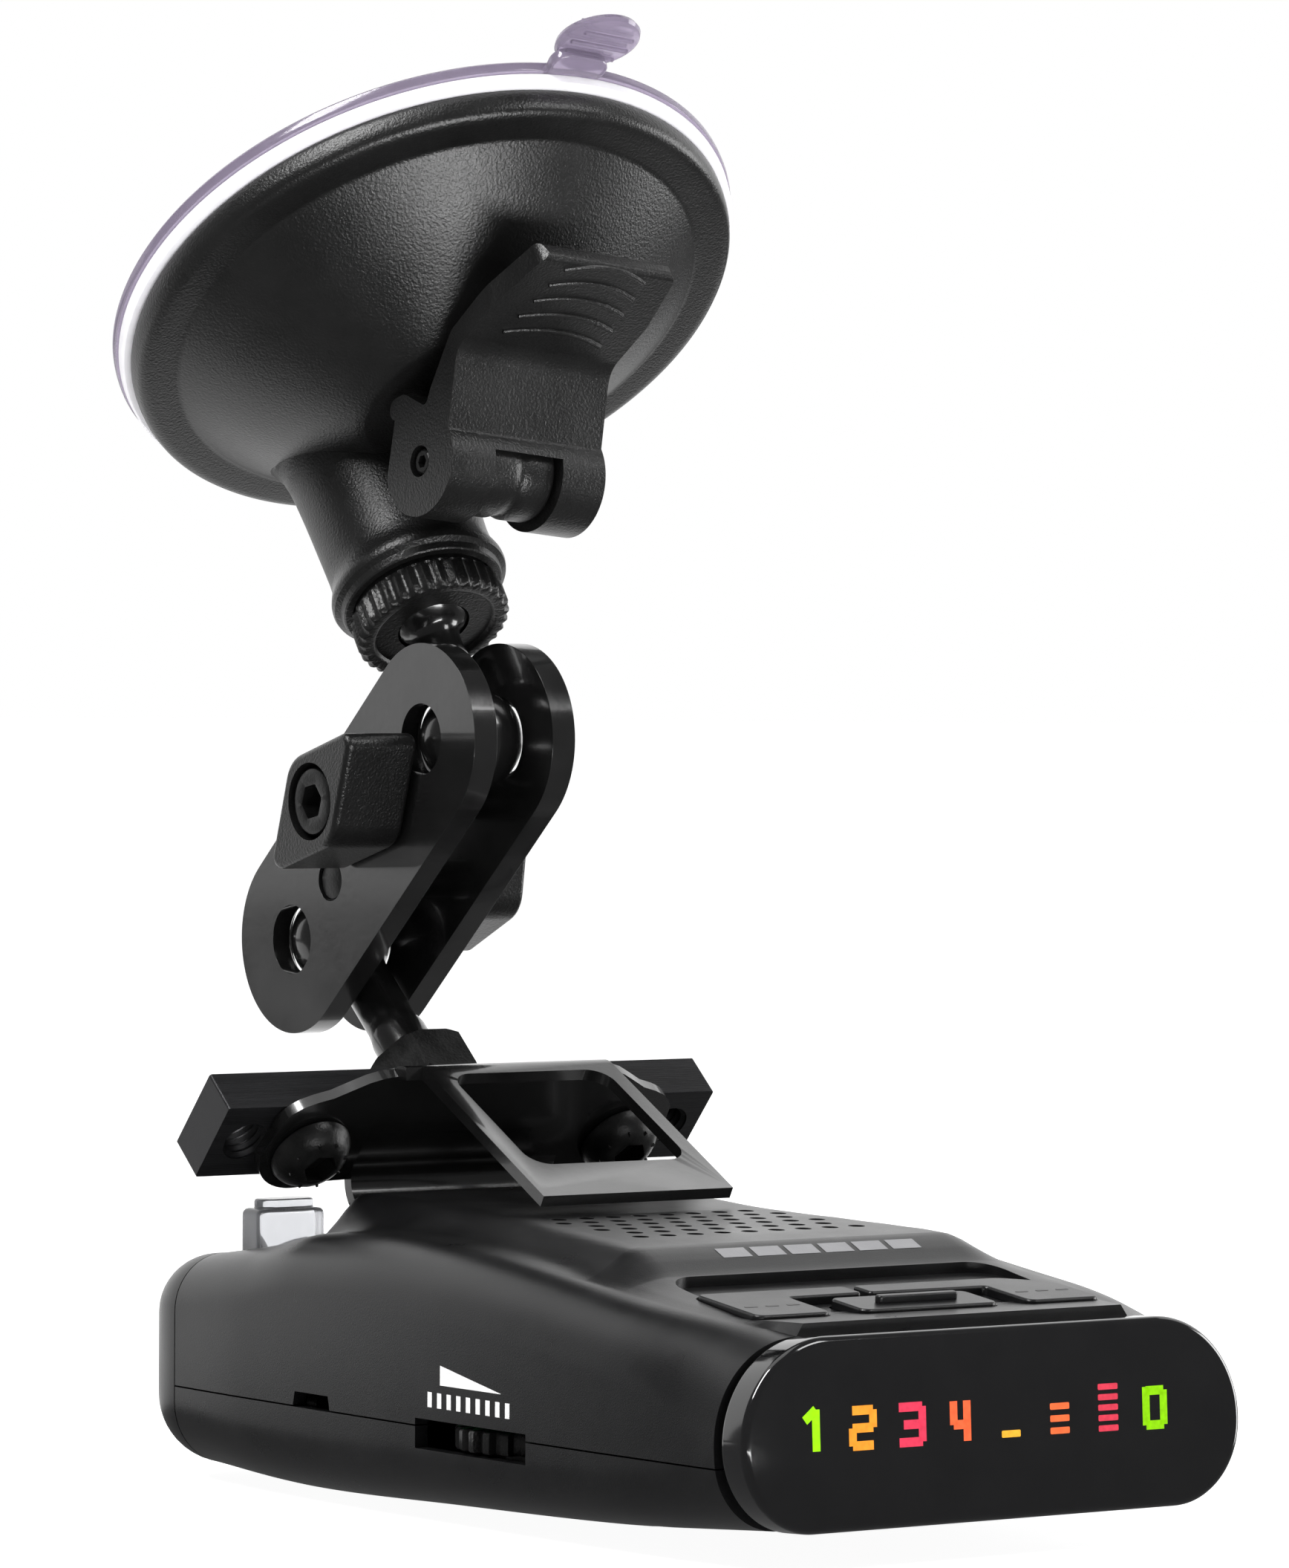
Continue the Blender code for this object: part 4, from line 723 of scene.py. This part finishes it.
def bracket():
    slope = Vector((-math.cos(FRAME_SLOPE), -math.sin(FRAME_SLOPE)))
    apex = to_detector(SHEET_Y, 13.4)
    lip = apex + slope * 31.8
    down = (bar_turn @ Vector((0, 0, -1))).yz
    heel = apex + down * (TONGUE_Z - apex.y) / down.y
    path = [(lip.x, lip.y, 0), (apex.x, apex.y, 2.6), (heel.x, heel.y, 4.35), (-28.0, TONGUE_Z, 0)]
    mesh = prism([ribbon(path, SHEET)], *STRIP_X)
    mesh.transform(SIDEWAYS)
    for edge, far in ((FRAME_X[0], -20), (FRAME_X[1], 20)):
        low, high = sorted((edge, far))
        mesh = boolean(mesh, box((low, -60, apex.y - 18), (high, apex.x - 1.6, apex.y + 6)))
    window = rounded_box(WINDOW_X[0], WINDOW_X[1], -24.8, -3.4, 3)
    at = Matrix.Translation((0, apex.x, apex.y)) @ Matrix.Rotation(FRAME_SLOPE, 4, "X")
    mesh = boolean(mesh, prism([window], -4, 4), where=at)
    ear = arc(-BAR_SCREW_X, 0, 6.8, -60, -172, 30)
    ear += [(-29.3, 5.2), (-28.5, 6.4), (-27.3, 7.4), (-25.6, 8.2), (-23.5, 8.9), (-21.3, 10.2), (-19.2, 11.4),
            (-17.2, 12.1), (-15.3, 12.4)]
    outline = [(-14, -5.6)] + ear + [(-x, z) for x, z in reversed(ear)] + [(14, -5.6)]
    low, high = SHEET_Y - SHEET / 2, SHEET_Y + SHEET / 2
    plane = Matrix.Translation(BAR_AT) @ Matrix.Rotation(BAR_TILT + math.pi / 2, 4, "X")
    mesh = join(mesh, prism([outline], -high, -low), plane)
    for side in (-1, 1):
        centre = BAR_AT + bar_turn @ Vector((side * BAR_SCREW_X, 0, 0))
        where = Matrix.Translation(centre) @ Matrix.Rotation(BAR_TILT + math.pi / 2, 4, "X")
        mesh = boolean(mesh, cylinder(3.3, -8, 8), where=where)
    piece("bracket_sheet", soft(mesh, 0.35, 3, 40), DETECTOR, "bracket")


def bar_screw(side):
    name = "left" if side < 0 else "right"
    seat = -SHEET_Y + SHEET / 2 + 0.3
    head = [(0, seat + 3.3), (1.6, seat + 3.28), (2.4, seat + 3.2), (3.2, seat + 2.85), (3.9, seat + 2.4),
            (4.5, seat + 1.8), (5.0, seat + 1.1), (5.25, seat + 0.6), (5.35, seat + 0.2), (5.25, seat), (3.0, seat),
            (3.0, -2.6), (0, -2.6)]
    mesh = boolean(turned(head, 96), prism([regular(6, 4)], seat + 1.0, seat + 4))
    mesh = soft(mesh, 0.12, 2, 45)
    marks = []
    for degrees in (20, 70, 110, 160, 200, 250, 290, 340):
        turn = Matrix.Rotation(math.radians(degrees), 4, "Z")
        mark = soft(box((3.0, -0.16, seat + 1.9), (3.9, 0.16, seat + 2.78)), 0.08, 2)
        mark.transform(turn)
        marks.append(mark)
    where = BAR @ Matrix.Translation((side * BAR_SCREW_X, 0, 0)) @ UPRIGHT
    piece(f"bar_button_screw_{name}", mesh, where, f"bar_screw_{name}")
    piece(f"bar_screw_ticks_{name}", merged(*marks), where, f"bar_screw_{name}", alone=False)


# ---------------------------------------------------------------- case


def smooth(value):
    value = min(max(value, 0.0), 1.0)
    return value * value * (3 - 2 * value)


def top_z(x, y, inset=0.0):
    """Height of the case's top over (x, y), off the corners."""
    shoulder = between(SHOULDER_Z, y)
    raised = max(between(PLATEAU_Z, y) - shoulder, 0)
    flat = between(PLATEAU_HALF, y)
    rise = smooth((flat + PLATEAU_EDGE - abs(x)) / PLATEAU_EDGE)
    return shoulder - inset + raised * rise


def half_section(y, inset):
    half = between(HALF_WIDTH, y) - inset
    low = between(BELLY_Z, y) + inset
    high = between(SHOULDER_Z, y) - inset
    belly_r = max(between(BELLY_CORNER, y) - 0.7 * inset, 1.5)
    top_r = max(between(TOP_CORNER, y) - 0.7 * inset, 1.5)
    side = arc(half - belly_r, low + belly_r, belly_r, -90, 0, 20)
    side += arc(half - top_r, high - top_r, top_r, 0, 90, 20)
    top = []
    for k in range(25):
        x = (1 - k / 24) * (half - top_r)
        top.append((x, top_z(x, y, inset)))
    return [(0, low), (half - belly_r, low)], side, top


def spread(points, count):
    lengths = [0]
    for first, second in zip(points, points[1:]):
        lengths.append(lengths[-1] + math.dist(first, second))
    spaced = []
    for k in range(count + 1):
        want = lengths[-1] * k / count
        i = max(j for j in range(len(points) - 1) if lengths[j] <= want + 1e-9)
        share = min((want - lengths[i]) / max(lengths[i + 1] - lengths[i], 1e-9), 1)
        spaced.append(tuple(a + (b - a) * share for a, b in zip(points[i], points[i + 1])))
    return spaced


def clipped(points, z, above):
    kept = [p for p in points if (p[1] > z if above else p[1] < z)]
    for first, second in zip(points, points[1:]):
        if first[1] <= z < second[1]:
            share = (z - first[1]) / (second[1] - first[1])
            edge = (first[0] + (second[0] - first[0]) * share, z)
            return [edge] + kept if above else kept + [edge]
    return kept


def placed(points, y):
    share = min(max((-96 - y) / 12, 0), 1)
    return [(x, y + 0.053 * (z - 10.7) * share, z) for x, z in points]


def shell_ring(y, upper):
    ring = []
    for inset in (0, WALL):
        belly, side, top = half_section(y, inset)
        if upper:
            half = spread(clipped(side, SEAM_Z + SEAM_GAP / 2, True), 26) + top[1:]
        else:
            half = spread(clipped(side, SEAM_Z - SEAM_GAP / 2, False), 20)[::-1]
            edge = half[-1]
            half += [(edge[0] * share, edge[1]) for share in (0.75, 0.5, 0.25, 0)]
        whole = half + [(-x, z) for x, z in half[-2::-1]]
        ring += whole if inset == 0 else whole[::-1]
    return placed(ring, y)


def loft(rings, pair):
    bm = bmesh.new()
    loops = [[bm.verts.new(point) for point in ring] for ring in rings]
    count = len(loops[0])
    for first, second in zip(loops, loops[1:]):
        for i in range(count):
            j = (i + 1) % count
            bm.faces.new((first[i], first[j], second[j], second[i]))
    for end in (loops[0], loops[-1]):
        for i in range(count // 2):
            corners = (end[i], end[i + 1], end[(pair - i - 1) % count], end[(pair - i) % count])
            corners = list(dict.fromkeys(corners))
            if len(corners) > 2:
                bm.faces.new(corners)
    return from_bmesh(bm)


def grown(outline, distance):
    moved = []
    for i, point in enumerate(outline):
        here = Vector(point)
        along = (Vector(outline[(i + 1) % len(outline)]) - Vector(outline[i - 1])).normalized()
        moved.append(tuple(here + Vector((along.y, -along.x)) * distance))
    return moved


BUTTONS = {
    "left": [(-25, -20, 1.2), (-14.4, -20, 1.2), (-14.4, -11.4, 0.6), (-3.6, -11.2, 0.6), (-3.6, -7.4, 0.8),
             (-25, -7.4, 1.2)],
    "middle": [(-9.9, -20, 1.2), (9.9, -20, 1.2), (9.9, -12.9, 1.2), (-9.9, -12.9, 1.2)],
    "right": [(14.4, -20, 1.2), (25, -20, 1.2), (25, -11, 4), (19, -7.4, 4), (-2.4, -7.4, 0.8),
              (-2.4, -11.2, 0.6), (14.4, -11.4, 0.6)],
}
deck_in_case = DETECTOR.inverted() @ DECK


def stations(low, high, step, extra):
    count = round((high - low) / step)
    values = {round(low + (high - low) * k / count, 3) for k in range(count + 1)}
    return sorted(v for v in values | set(extra) if low <= v <= high)


def upper_case():
    ys = stations(CASE_FRONT_Y, CAP_SPLIT_Y - 0.1, 1.5, (-80.9, -80.3, -77.0, -73.5, -7.9, -7.1, -6.4, -5.6, -4.9))
    mesh = loft([shell_ring(y, True) for y in ys], -1)
    mesh = boolean(mesh, box((-16.2, -9.4, 27.1), (15.8, -2.0, 29.4)))
    mesh = boolean(mesh, box((-42, -72.1, 4), (-33, -49.3, 8.1)))
    notch = prism([[(-30.7, 6.5), (-22.0, 6.5), (-22.6, 9.0), (-30.1, 9.0)]], -42, -33)
    mesh = boolean(mesh, notch, where=SIDEWAYS)
    mesh = boolean(mesh, prism([rounded_box(-26.6, -17.8, -0.4, 5.3, 1.5)], 20, 30))
    holes = [circle((column - 4 + row % 2 / 2) * HOLE_PITCH, -65 + row * HOLE_PITCH, HOLE_R, 24)
             for row in range(6) for column in range(9 - row % 2)]
    mesh = boolean(mesh, merged(*[prism([hole], 26, 36) for hole in holes]))
    pocket = rounded([(-24, -17, 0.6), (24, -17, 0.6), (24, 0.5, 4), (-24, 0.5, 4)], 10)
    mesh = boolean(mesh, prism([pocket], 0, 8), where=deck_in_case)
    for points in BUTTONS.values():
        mesh = boolean(mesh, prism([grown(rounded(points), 0.25)], -8, 4), where=deck_in_case)
    piece("case_top", mesh, DETECTOR, "upper_case")


def lower_case():
    ys = stations(CASE_FRONT_Y, CAP_SPLIT_Y - 0.1, 2.0, ())
    mesh = loft([shell_ring(y, False) for y in ys], -1)
    mesh = boolean(mesh, box((-42, -72.1, 4.5), (-33, -49.3, 9)))
    for x, y in ((-28.5, -90.0), (28.5, -90.0), (-29.0, -7.0), (29.0, -7.0)):
        low = between(BELLY_Z, y)
        mesh = boolean(mesh, cylinder(2.6, -8, low + 1.2, 40), where=Matrix.Translation((x, y, 0)))
        mesh = boolean(mesh, cylinder(1.5, -8, 10, 32), where=Matrix.Translation((x, y, 0)))
    piece("case_bottom", mesh, DETECTOR, "lower_case")


def whole_ring(section_y, y, inset):
    belly, side, top = half_section(section_y, inset)
    half = belly[:1] + spread(side, 34) + top[1:]
    return placed(half + [(-x, z) for x, z in half[-2:0:-1]], y)


def rear_cap():
    depth = CAP_BACK_Y - CAP_SPLIT_Y
    shares = [0.0] + [math.sin(math.radians(a)) for a in (4, 9, 15, 21, 27, 33, 39, 45, 51, 57, 63, 69, 74, 78, 81)]

    def bulge(share):
        return 9.0 * (1 - math.sqrt(1 - share * share))

    outer = [whole_ring(CAP_SPLIT_Y, CAP_SPLIT_Y + 0.1 + (depth - 0.1) * s, bulge(s)) for s in shares]
    inner = [whole_ring(CAP_SPLIT_Y, CAP_SPLIT_Y + 0.1 + (depth - 0.1 - WALL) * s, WALL + bulge(s)) for s in shares]
    piece("case_rear_cap", loft(inner[::-1] + outer, 0), DETECTOR, "rear_cap")


def wall_x(y, z):
    """Half width of the case at (y, z)."""
    belly, side, _ = half_section(y, 0)
    for first, second in zip(side, side[1:]):
        if first[1] <= z <= second[1]:
            share = (z - first[1]) / max(second[1] - first[1], 1e-9)
            return first[0] + (second[0] - first[0]) * share
    return side[-1][0]


def patch(strips, surface):
    """A thin print. strips are lists of (low, high) point pairs; surface lifts a flat point onto the case."""
    bm = bmesh.new()
    for strip in strips:
        rows = [[bm.verts.new(surface(*point)) for point in pair] for pair in strip]
        for first, second in zip(rows, rows[1:]):
            corners = list(dict.fromkeys((first[0], first[1], second[1], second[0])))
            bm.faces.new(corners)
    mesh = bpy.data.meshes.new("patch")
    bm.to_mesh(mesh)
    bm.free()
    return mesh


def prints():
    """Generic marks in place of lettering: a rising wedge with ticks, bars on the slope and on the buttons."""
    def on_wall(y, z):
        return (-wall_x(y, z) - 0.03, y, z)

    wedge = [((-54.6 - 12.5 * k / 16, 12.35), (-54.6 - 12.5 * k / 16, 14.7 - 2.3 * k / 16)) for k in range(17)]
    strips = [wedge]
    for k in range(9):
        y = -52.0 - 2.0 * k
        strips.append([((y, 9.6), (y, 11.4)), ((y - 0.9, 9.6), (y - 0.9, 11.4))])
    piece("volume_marks", patch(strips, on_wall), DETECTOR, "upper_case", WHITE_PRINT, alone=False)

    def on_top(x, y):
        return (x, y, top_z(x, y) + 0.03)

    strips = []
    for k in range(6):
        x = -12.6 + 5.0 * k
        columns = [x + 4.2 * i / 4 for i in range(5)]
        strips.append([((c, -77.2), (c, -75.2)) for c in columns])
    piece("slope_bars", patch(strips, on_top), DETECTOR, "upper_case", GREY_PRINT, alone=False)
    for name, centre in (("left", (-19.7, -15.4)), ("right", (19.7, -15.4))):
        x, y = centre
        ticks = [prism([rounded_box(x + dx - 0.9, x + dx + 0.9, y - 0.25, y + 0.25, 0.2, 4)], BUTTON_PROUD,
                       BUTTON_PROUD + 0.03) for dx in (-3, 0, 3)]
        piece(f"button_ticks_{name}", merged(*ticks), DECK, f"button_{name}", FAINT_PRINT, alone=False)


def display():
    low, high = LENS_Z
    half = (high - low) / 2
    face = rounded([(-LENS_WIDTH / 2, -half, 9.8), (LENS_WIDTH / 2, -half, 9.8), (LENS_WIDTH / 2, half, 12.2),
                    (-LENS_WIDTH / 2, half, 12.2)], 24)
    mesh = soft(prism([face], 0, LENS_THICK), 0.9, 5, 60)
    piece("display_window", mesh, LENS, "display_lens")
    middle = (low + high) / 2
    z0 = LENS_THICK

    def bar(x0, x1, y0, y1, radius=0.15):
        return prism([rounded_box(x0, x1, y0 - middle, y1 - middle, radius, 4)], z0, z0 + 0.04)

    def stroke(points, width=1.05):
        meshes = []
        for (x0, y0), (x1, y1) in zip(points, points[1:]):
            run = Vector((x1 - x0, y1 - y0))
            across = Vector((-run.y, run.x)).normalized() * width / 2
            corners = [(x0 + across.x, y0 + across.y - middle), (x1 + across.x, y1 + across.y - middle),
                       (x1 - across.x, y1 - across.y - middle), (x0 - across.x, y0 - across.y - middle)]
            meshes.append(prism([corners], z0, z0 + 0.04))
        return merged(*meshes)

    def digit(x0, x1, *lines):
        """A digit drawn on a 2 x 4 grid between x0 and x1."""
        spots = [[(x0 + (x1 - x0) * u / 2, 9.25 + 1.0 * v) for u, v in line] for line in lines]
        return merged(*[stroke(line) for line in spots])

    shapes = (
        ("segment_one", (0.38, 1.0, 0.0), digit(-27.6, -25.0, ((0, 3.2), (1.2, 4.4), (1.2, -0.3)))),
        ("segment_two", (1.0, 0.36, 0.03), digit(-20.9, -18.0, ((0, 4), (2, 4), (2, 2), (0, 2), (0, 0), (2, 0)))),
        ("segment_three", (0.85, 0.05, 0.11), digit(-14.3, -11.0, ((0, 4), (2, 4), (2, 0), (0, 0)),
                                                    ((0.4, 2), (2, 2)))),
        ("segment_four", (1.0, 0.15, 0.05), digit(-6.5, -4.1, ((0, 4.3), (0, 1.6), (2, 1.6)),
                                                  ((1.6, 4.3), (1.6, -0.3)))),
        ("segment_dash", (1.0, 0.5, 0.04), bar(0.4, 3.1, 9.0, 9.8)),
        ("segment_stack_low", (0.95, 0.17, 0.05), merged(*[bar(7.5, 10.3, z, z + 0.75) for z in (9.0, 10.4, 11.8)])),
        ("segment_stack_high", (0.75, 0.05, 0.09), merged(*[bar(14.6, 17.5, z, z + 0.7)
                                                          for z in (8.9, 10.1, 11.3, 12.5, 13.7)])),
        ("segment_zero", (0.28, 0.72, 0.0), digit(21.7, 24.3, ((0, 4), (2, 4), (2, 0), (0, 0), (0, 4.45)))),
    )
    for name, colour, mesh in shapes:
        piece(name, mesh, LENS, "display_lens", glow(name + "_light", colour, 1.1), alone=False)


def buttons():
    for name, points in BUTTONS.items():
        cap = soft(prism([rounded(points)], -2.2, BUTTON_PROUD), 0.35, 3, 50)
        piece(f"key_{name}", cap, DECK, f"button_{name}")
        if name == "middle":
            bar = soft(prism([rounded_box(-5.8, 5.8, -17.4, -16.2, 0.5)], BUTTON_PROUD - 0.1, 2.0), 0.25, 3, 50)
            piece("key_middle_ridge", bar, DECK, "button_middle", alone=False)


def volume_wheel():
    teeth = 26
    steps = teeth * 16

    def ribbed(angle, radius, z):
        if radius < 10:
            return radius
        wave = math.cos(teeth * angle)
        return radius - 0.9 * smooth((0.25 - wave) / 0.5)

    low, high = WHEEL_Z
    profile = [(1.8, high), (10.2, high), (10.8, high - 0.12), (WHEEL_R, high - 0.4), (WHEEL_R, low + 0.4),
               (10.8, low + 0.12), (10.2, low), (1.8, low)]
    mesh = turned(profile, steps, closed=True, shape=ribbed)
    piece("thumb_wheel", mesh, DETECTOR @ Matrix.Translation((*WHEEL_AT, 0)), "volume_wheel", angle=40)


def laser_lens():
    mesh = soft(prism([rounded_box(-28.0, -18.1, -0.1, 5.1, 1.2)], 22.4, 29.2), 0.8, 3, 50)
    mesh = join(mesh, soft(prism([rounded_box(-27.0, -19.0, 0.7, 4.3, 1.7)], 28.6, 30.4), 0.35, 3, 50))
    mesh = join(mesh, box((-27.0, -1.2, 20.9), (-17.4, 5.4, 21.5)))
    mesh = join(mesh, box((-25.8, 0.3, 21.2), (-18.6, 4.6, 23)))
    piece("laser_window", mesh, DETECTOR, "laser_lens")


suction_pad()
cup_housing()
draw_stem()
cam_lever()
ball_clamp()
double_ball_stud()
arm_side(-1)
arm_side(1)
lower_stud()
mount_bar()
bracket()
bar_screw(-1)
bar_screw(1)
upper_case()
lower_case()
rear_cap()
prints()
display()
buttons()
volume_wheel()
laser_lens()

# ---------------------------------------------------------------- stage, light and camera


def staged(name, mesh, look, where=Matrix()):
    """A stage object that is no part of the model."""
    mesh.materials.append(look)
    obj = bpy.data.objects.new(name, mesh)
    obj.matrix_world = where
    bpy.context.scene.collection.objects.link(obj)
    return obj


def reflected_only(obj):
    """Let this be seen in glossy reflections and nowhere else."""
    obj.visible_camera = obj.visible_diffuse = obj.visible_shadow = obj.visible_transmission = False


def lit(name, colour, strength, albedo=0.9):
    """A pale stage surface that also gives off a little light."""
    found, tree, shader = graph(name)
    where = position(tree)
    noise = node(tree, "ShaderNodeTexNoise", Scale=0.01, Detail=2.0)
    tree.links.new(where, noise.inputs["Vector"])
    tree.links.new(ramp(tree, noise.outputs["Fac"], ((0.3, tuple(0.99 * albedo * c for c in colour)),
                                                     (0.7, tuple(albedo * c for c in colour)))),
                   shader.inputs["Base Color"])
    shader.inputs["Roughness"].default_value = 0.8
    shader.inputs["Specular IOR Level"].default_value = 0.0
    shader.inputs["Emission Color"].default_value = (*colour, 1)
    shader.inputs["Emission Strength"].default_value = strength
    return found


FLOOR_Z = cad_box[0][2] - 0.0015
FLOOR_SIDE = 24
GLOW_RADIUS = 0.5
BACKDROP_RADIUS = 11.5
SWEEP_RADIUS = 2.2
SWEEP_TOP = 2.3
SWEEP_DEGREES = range(-38, 103, 4)
WHITE = (1, 1, 1)

bm = bmesh.new()
bmesh.ops.create_grid(bm, x_segments=2, y_segments=2, size=0.5)
bmesh.ops.transform(bm, matrix=Matrix.Translation((0, 0, FLOOR_Z)) @ Matrix.Diagonal((FLOOR_SIDE, FLOOR_SIDE, 1, 1)),
                    verts=bm.verts)
floor = staged("floor", from_bmesh(bm), lit("pale_floor", WHITE, 0.95, 0.5))
floor.visible_glossy = False
reflected_only(staged("floor_glow", cylinder(GLOW_RADIUS, 0, 0.0002, 64), lit("floor_glow", WHITE, 1.1, 0.0),
                      Matrix.Translation((0.1, 0.53, FLOOR_Z + 0.0004))))
sky = staged("backdrop", ball(BACKDROP_RADIUS, 64), lit("pale_backdrop", WHITE, 1.0, 0.0))
sky.visible_diffuse = sky.visible_glossy = sky.visible_shadow = False

bm = bmesh.new()
around = [(SWEEP_RADIUS * math.sin(math.radians(turn)), SWEEP_RADIUS * math.cos(math.radians(turn)))
          for turn in SWEEP_DEGREES]
columns = [[bm.verts.new((x, y, z)) for z in (FLOOR_Z, SWEEP_TOP)] for x, y in around]
for near, far in zip(columns, columns[1:]):
    bm.faces.new((near[0], near[1], far[1], far[0]))
reflected_only(staged("rear_sweep", from_bmesh(bm), lit("rear_sweep", WHITE, 1.15, 0.0)))

world = bpy.context.scene.world or bpy.data.worlds.new("world")
bpy.context.scene.world = world
world.use_nodes = True
background = world.node_tree.nodes["Background"]
background.inputs["Color"].default_value = (1, 1, 1, 1)
background.inputs["Strength"].default_value = 0.16
bpy.context.scene.view_settings.view_transform = "Standard"


def aimed(at, target):
    return (Vector(target) - Vector(at)).to_track_quat("-Z", "Y").to_matrix().to_4x4()


def light(name, at, target, size, power):
    lamp = bpy.data.lights.new(name, "AREA")
    lamp.shape = "RECTANGLE"
    lamp.size, lamp.size_y = size
    lamp.energy = power
    obj = bpy.data.objects.new(name, lamp)
    obj.matrix_world = Matrix.Translation(at) @ aimed(at, target)
    bpy.context.scene.collection.objects.link(obj)
    obj.visible_camera = False
    return obj


light("top_softbox", (-0.2, 0.1, 1.0), (0, 0, -0.05), (0.8, 0.8), 2.4)
light("left_softbox", (-0.63, -0.12, 0.77), (0, 0, -0.05), (0.26, 0.55), 10)
light("right_softbox", (0.85, -0.3, -0.02), (0, 0, -0.05), (0.4, 0.5), 4)
light("front_softbox", (0.41, -0.71, 0.57), (0, 0, -0.05), (0.3, 0.3), 2.5)
light("low_card", (-0.04, -0.36, FLOOR_Z + 0.01), (-0.04, -0.36, 0.0), (0.2, 0.2), 2.2)

VIEW_FROM = Vector((-0.52569, -0.79121, -0.04910))
YAW, PITCH, ROLL = math.radians(35.3417), math.radians(0.963), math.radians(0.295)
camera = bpy.data.cameras.new("camera")
camera.lens = 169.76
camera.sensor_width = 36
camera.clip_start = 0.01
eye = bpy.data.objects.new("camera", camera)
eye.matrix_world = (Matrix.Translation(VIEW_FROM) @ Matrix.Rotation(-YAW, 4, "Z") @
                    Matrix.Rotation(math.pi / 2 - PITCH, 4, "X") @ Matrix.Rotation(ROLL, 4, "Z"))
bpy.context.scene.collection.objects.link(eye)
bpy.context.scene.camera = eye
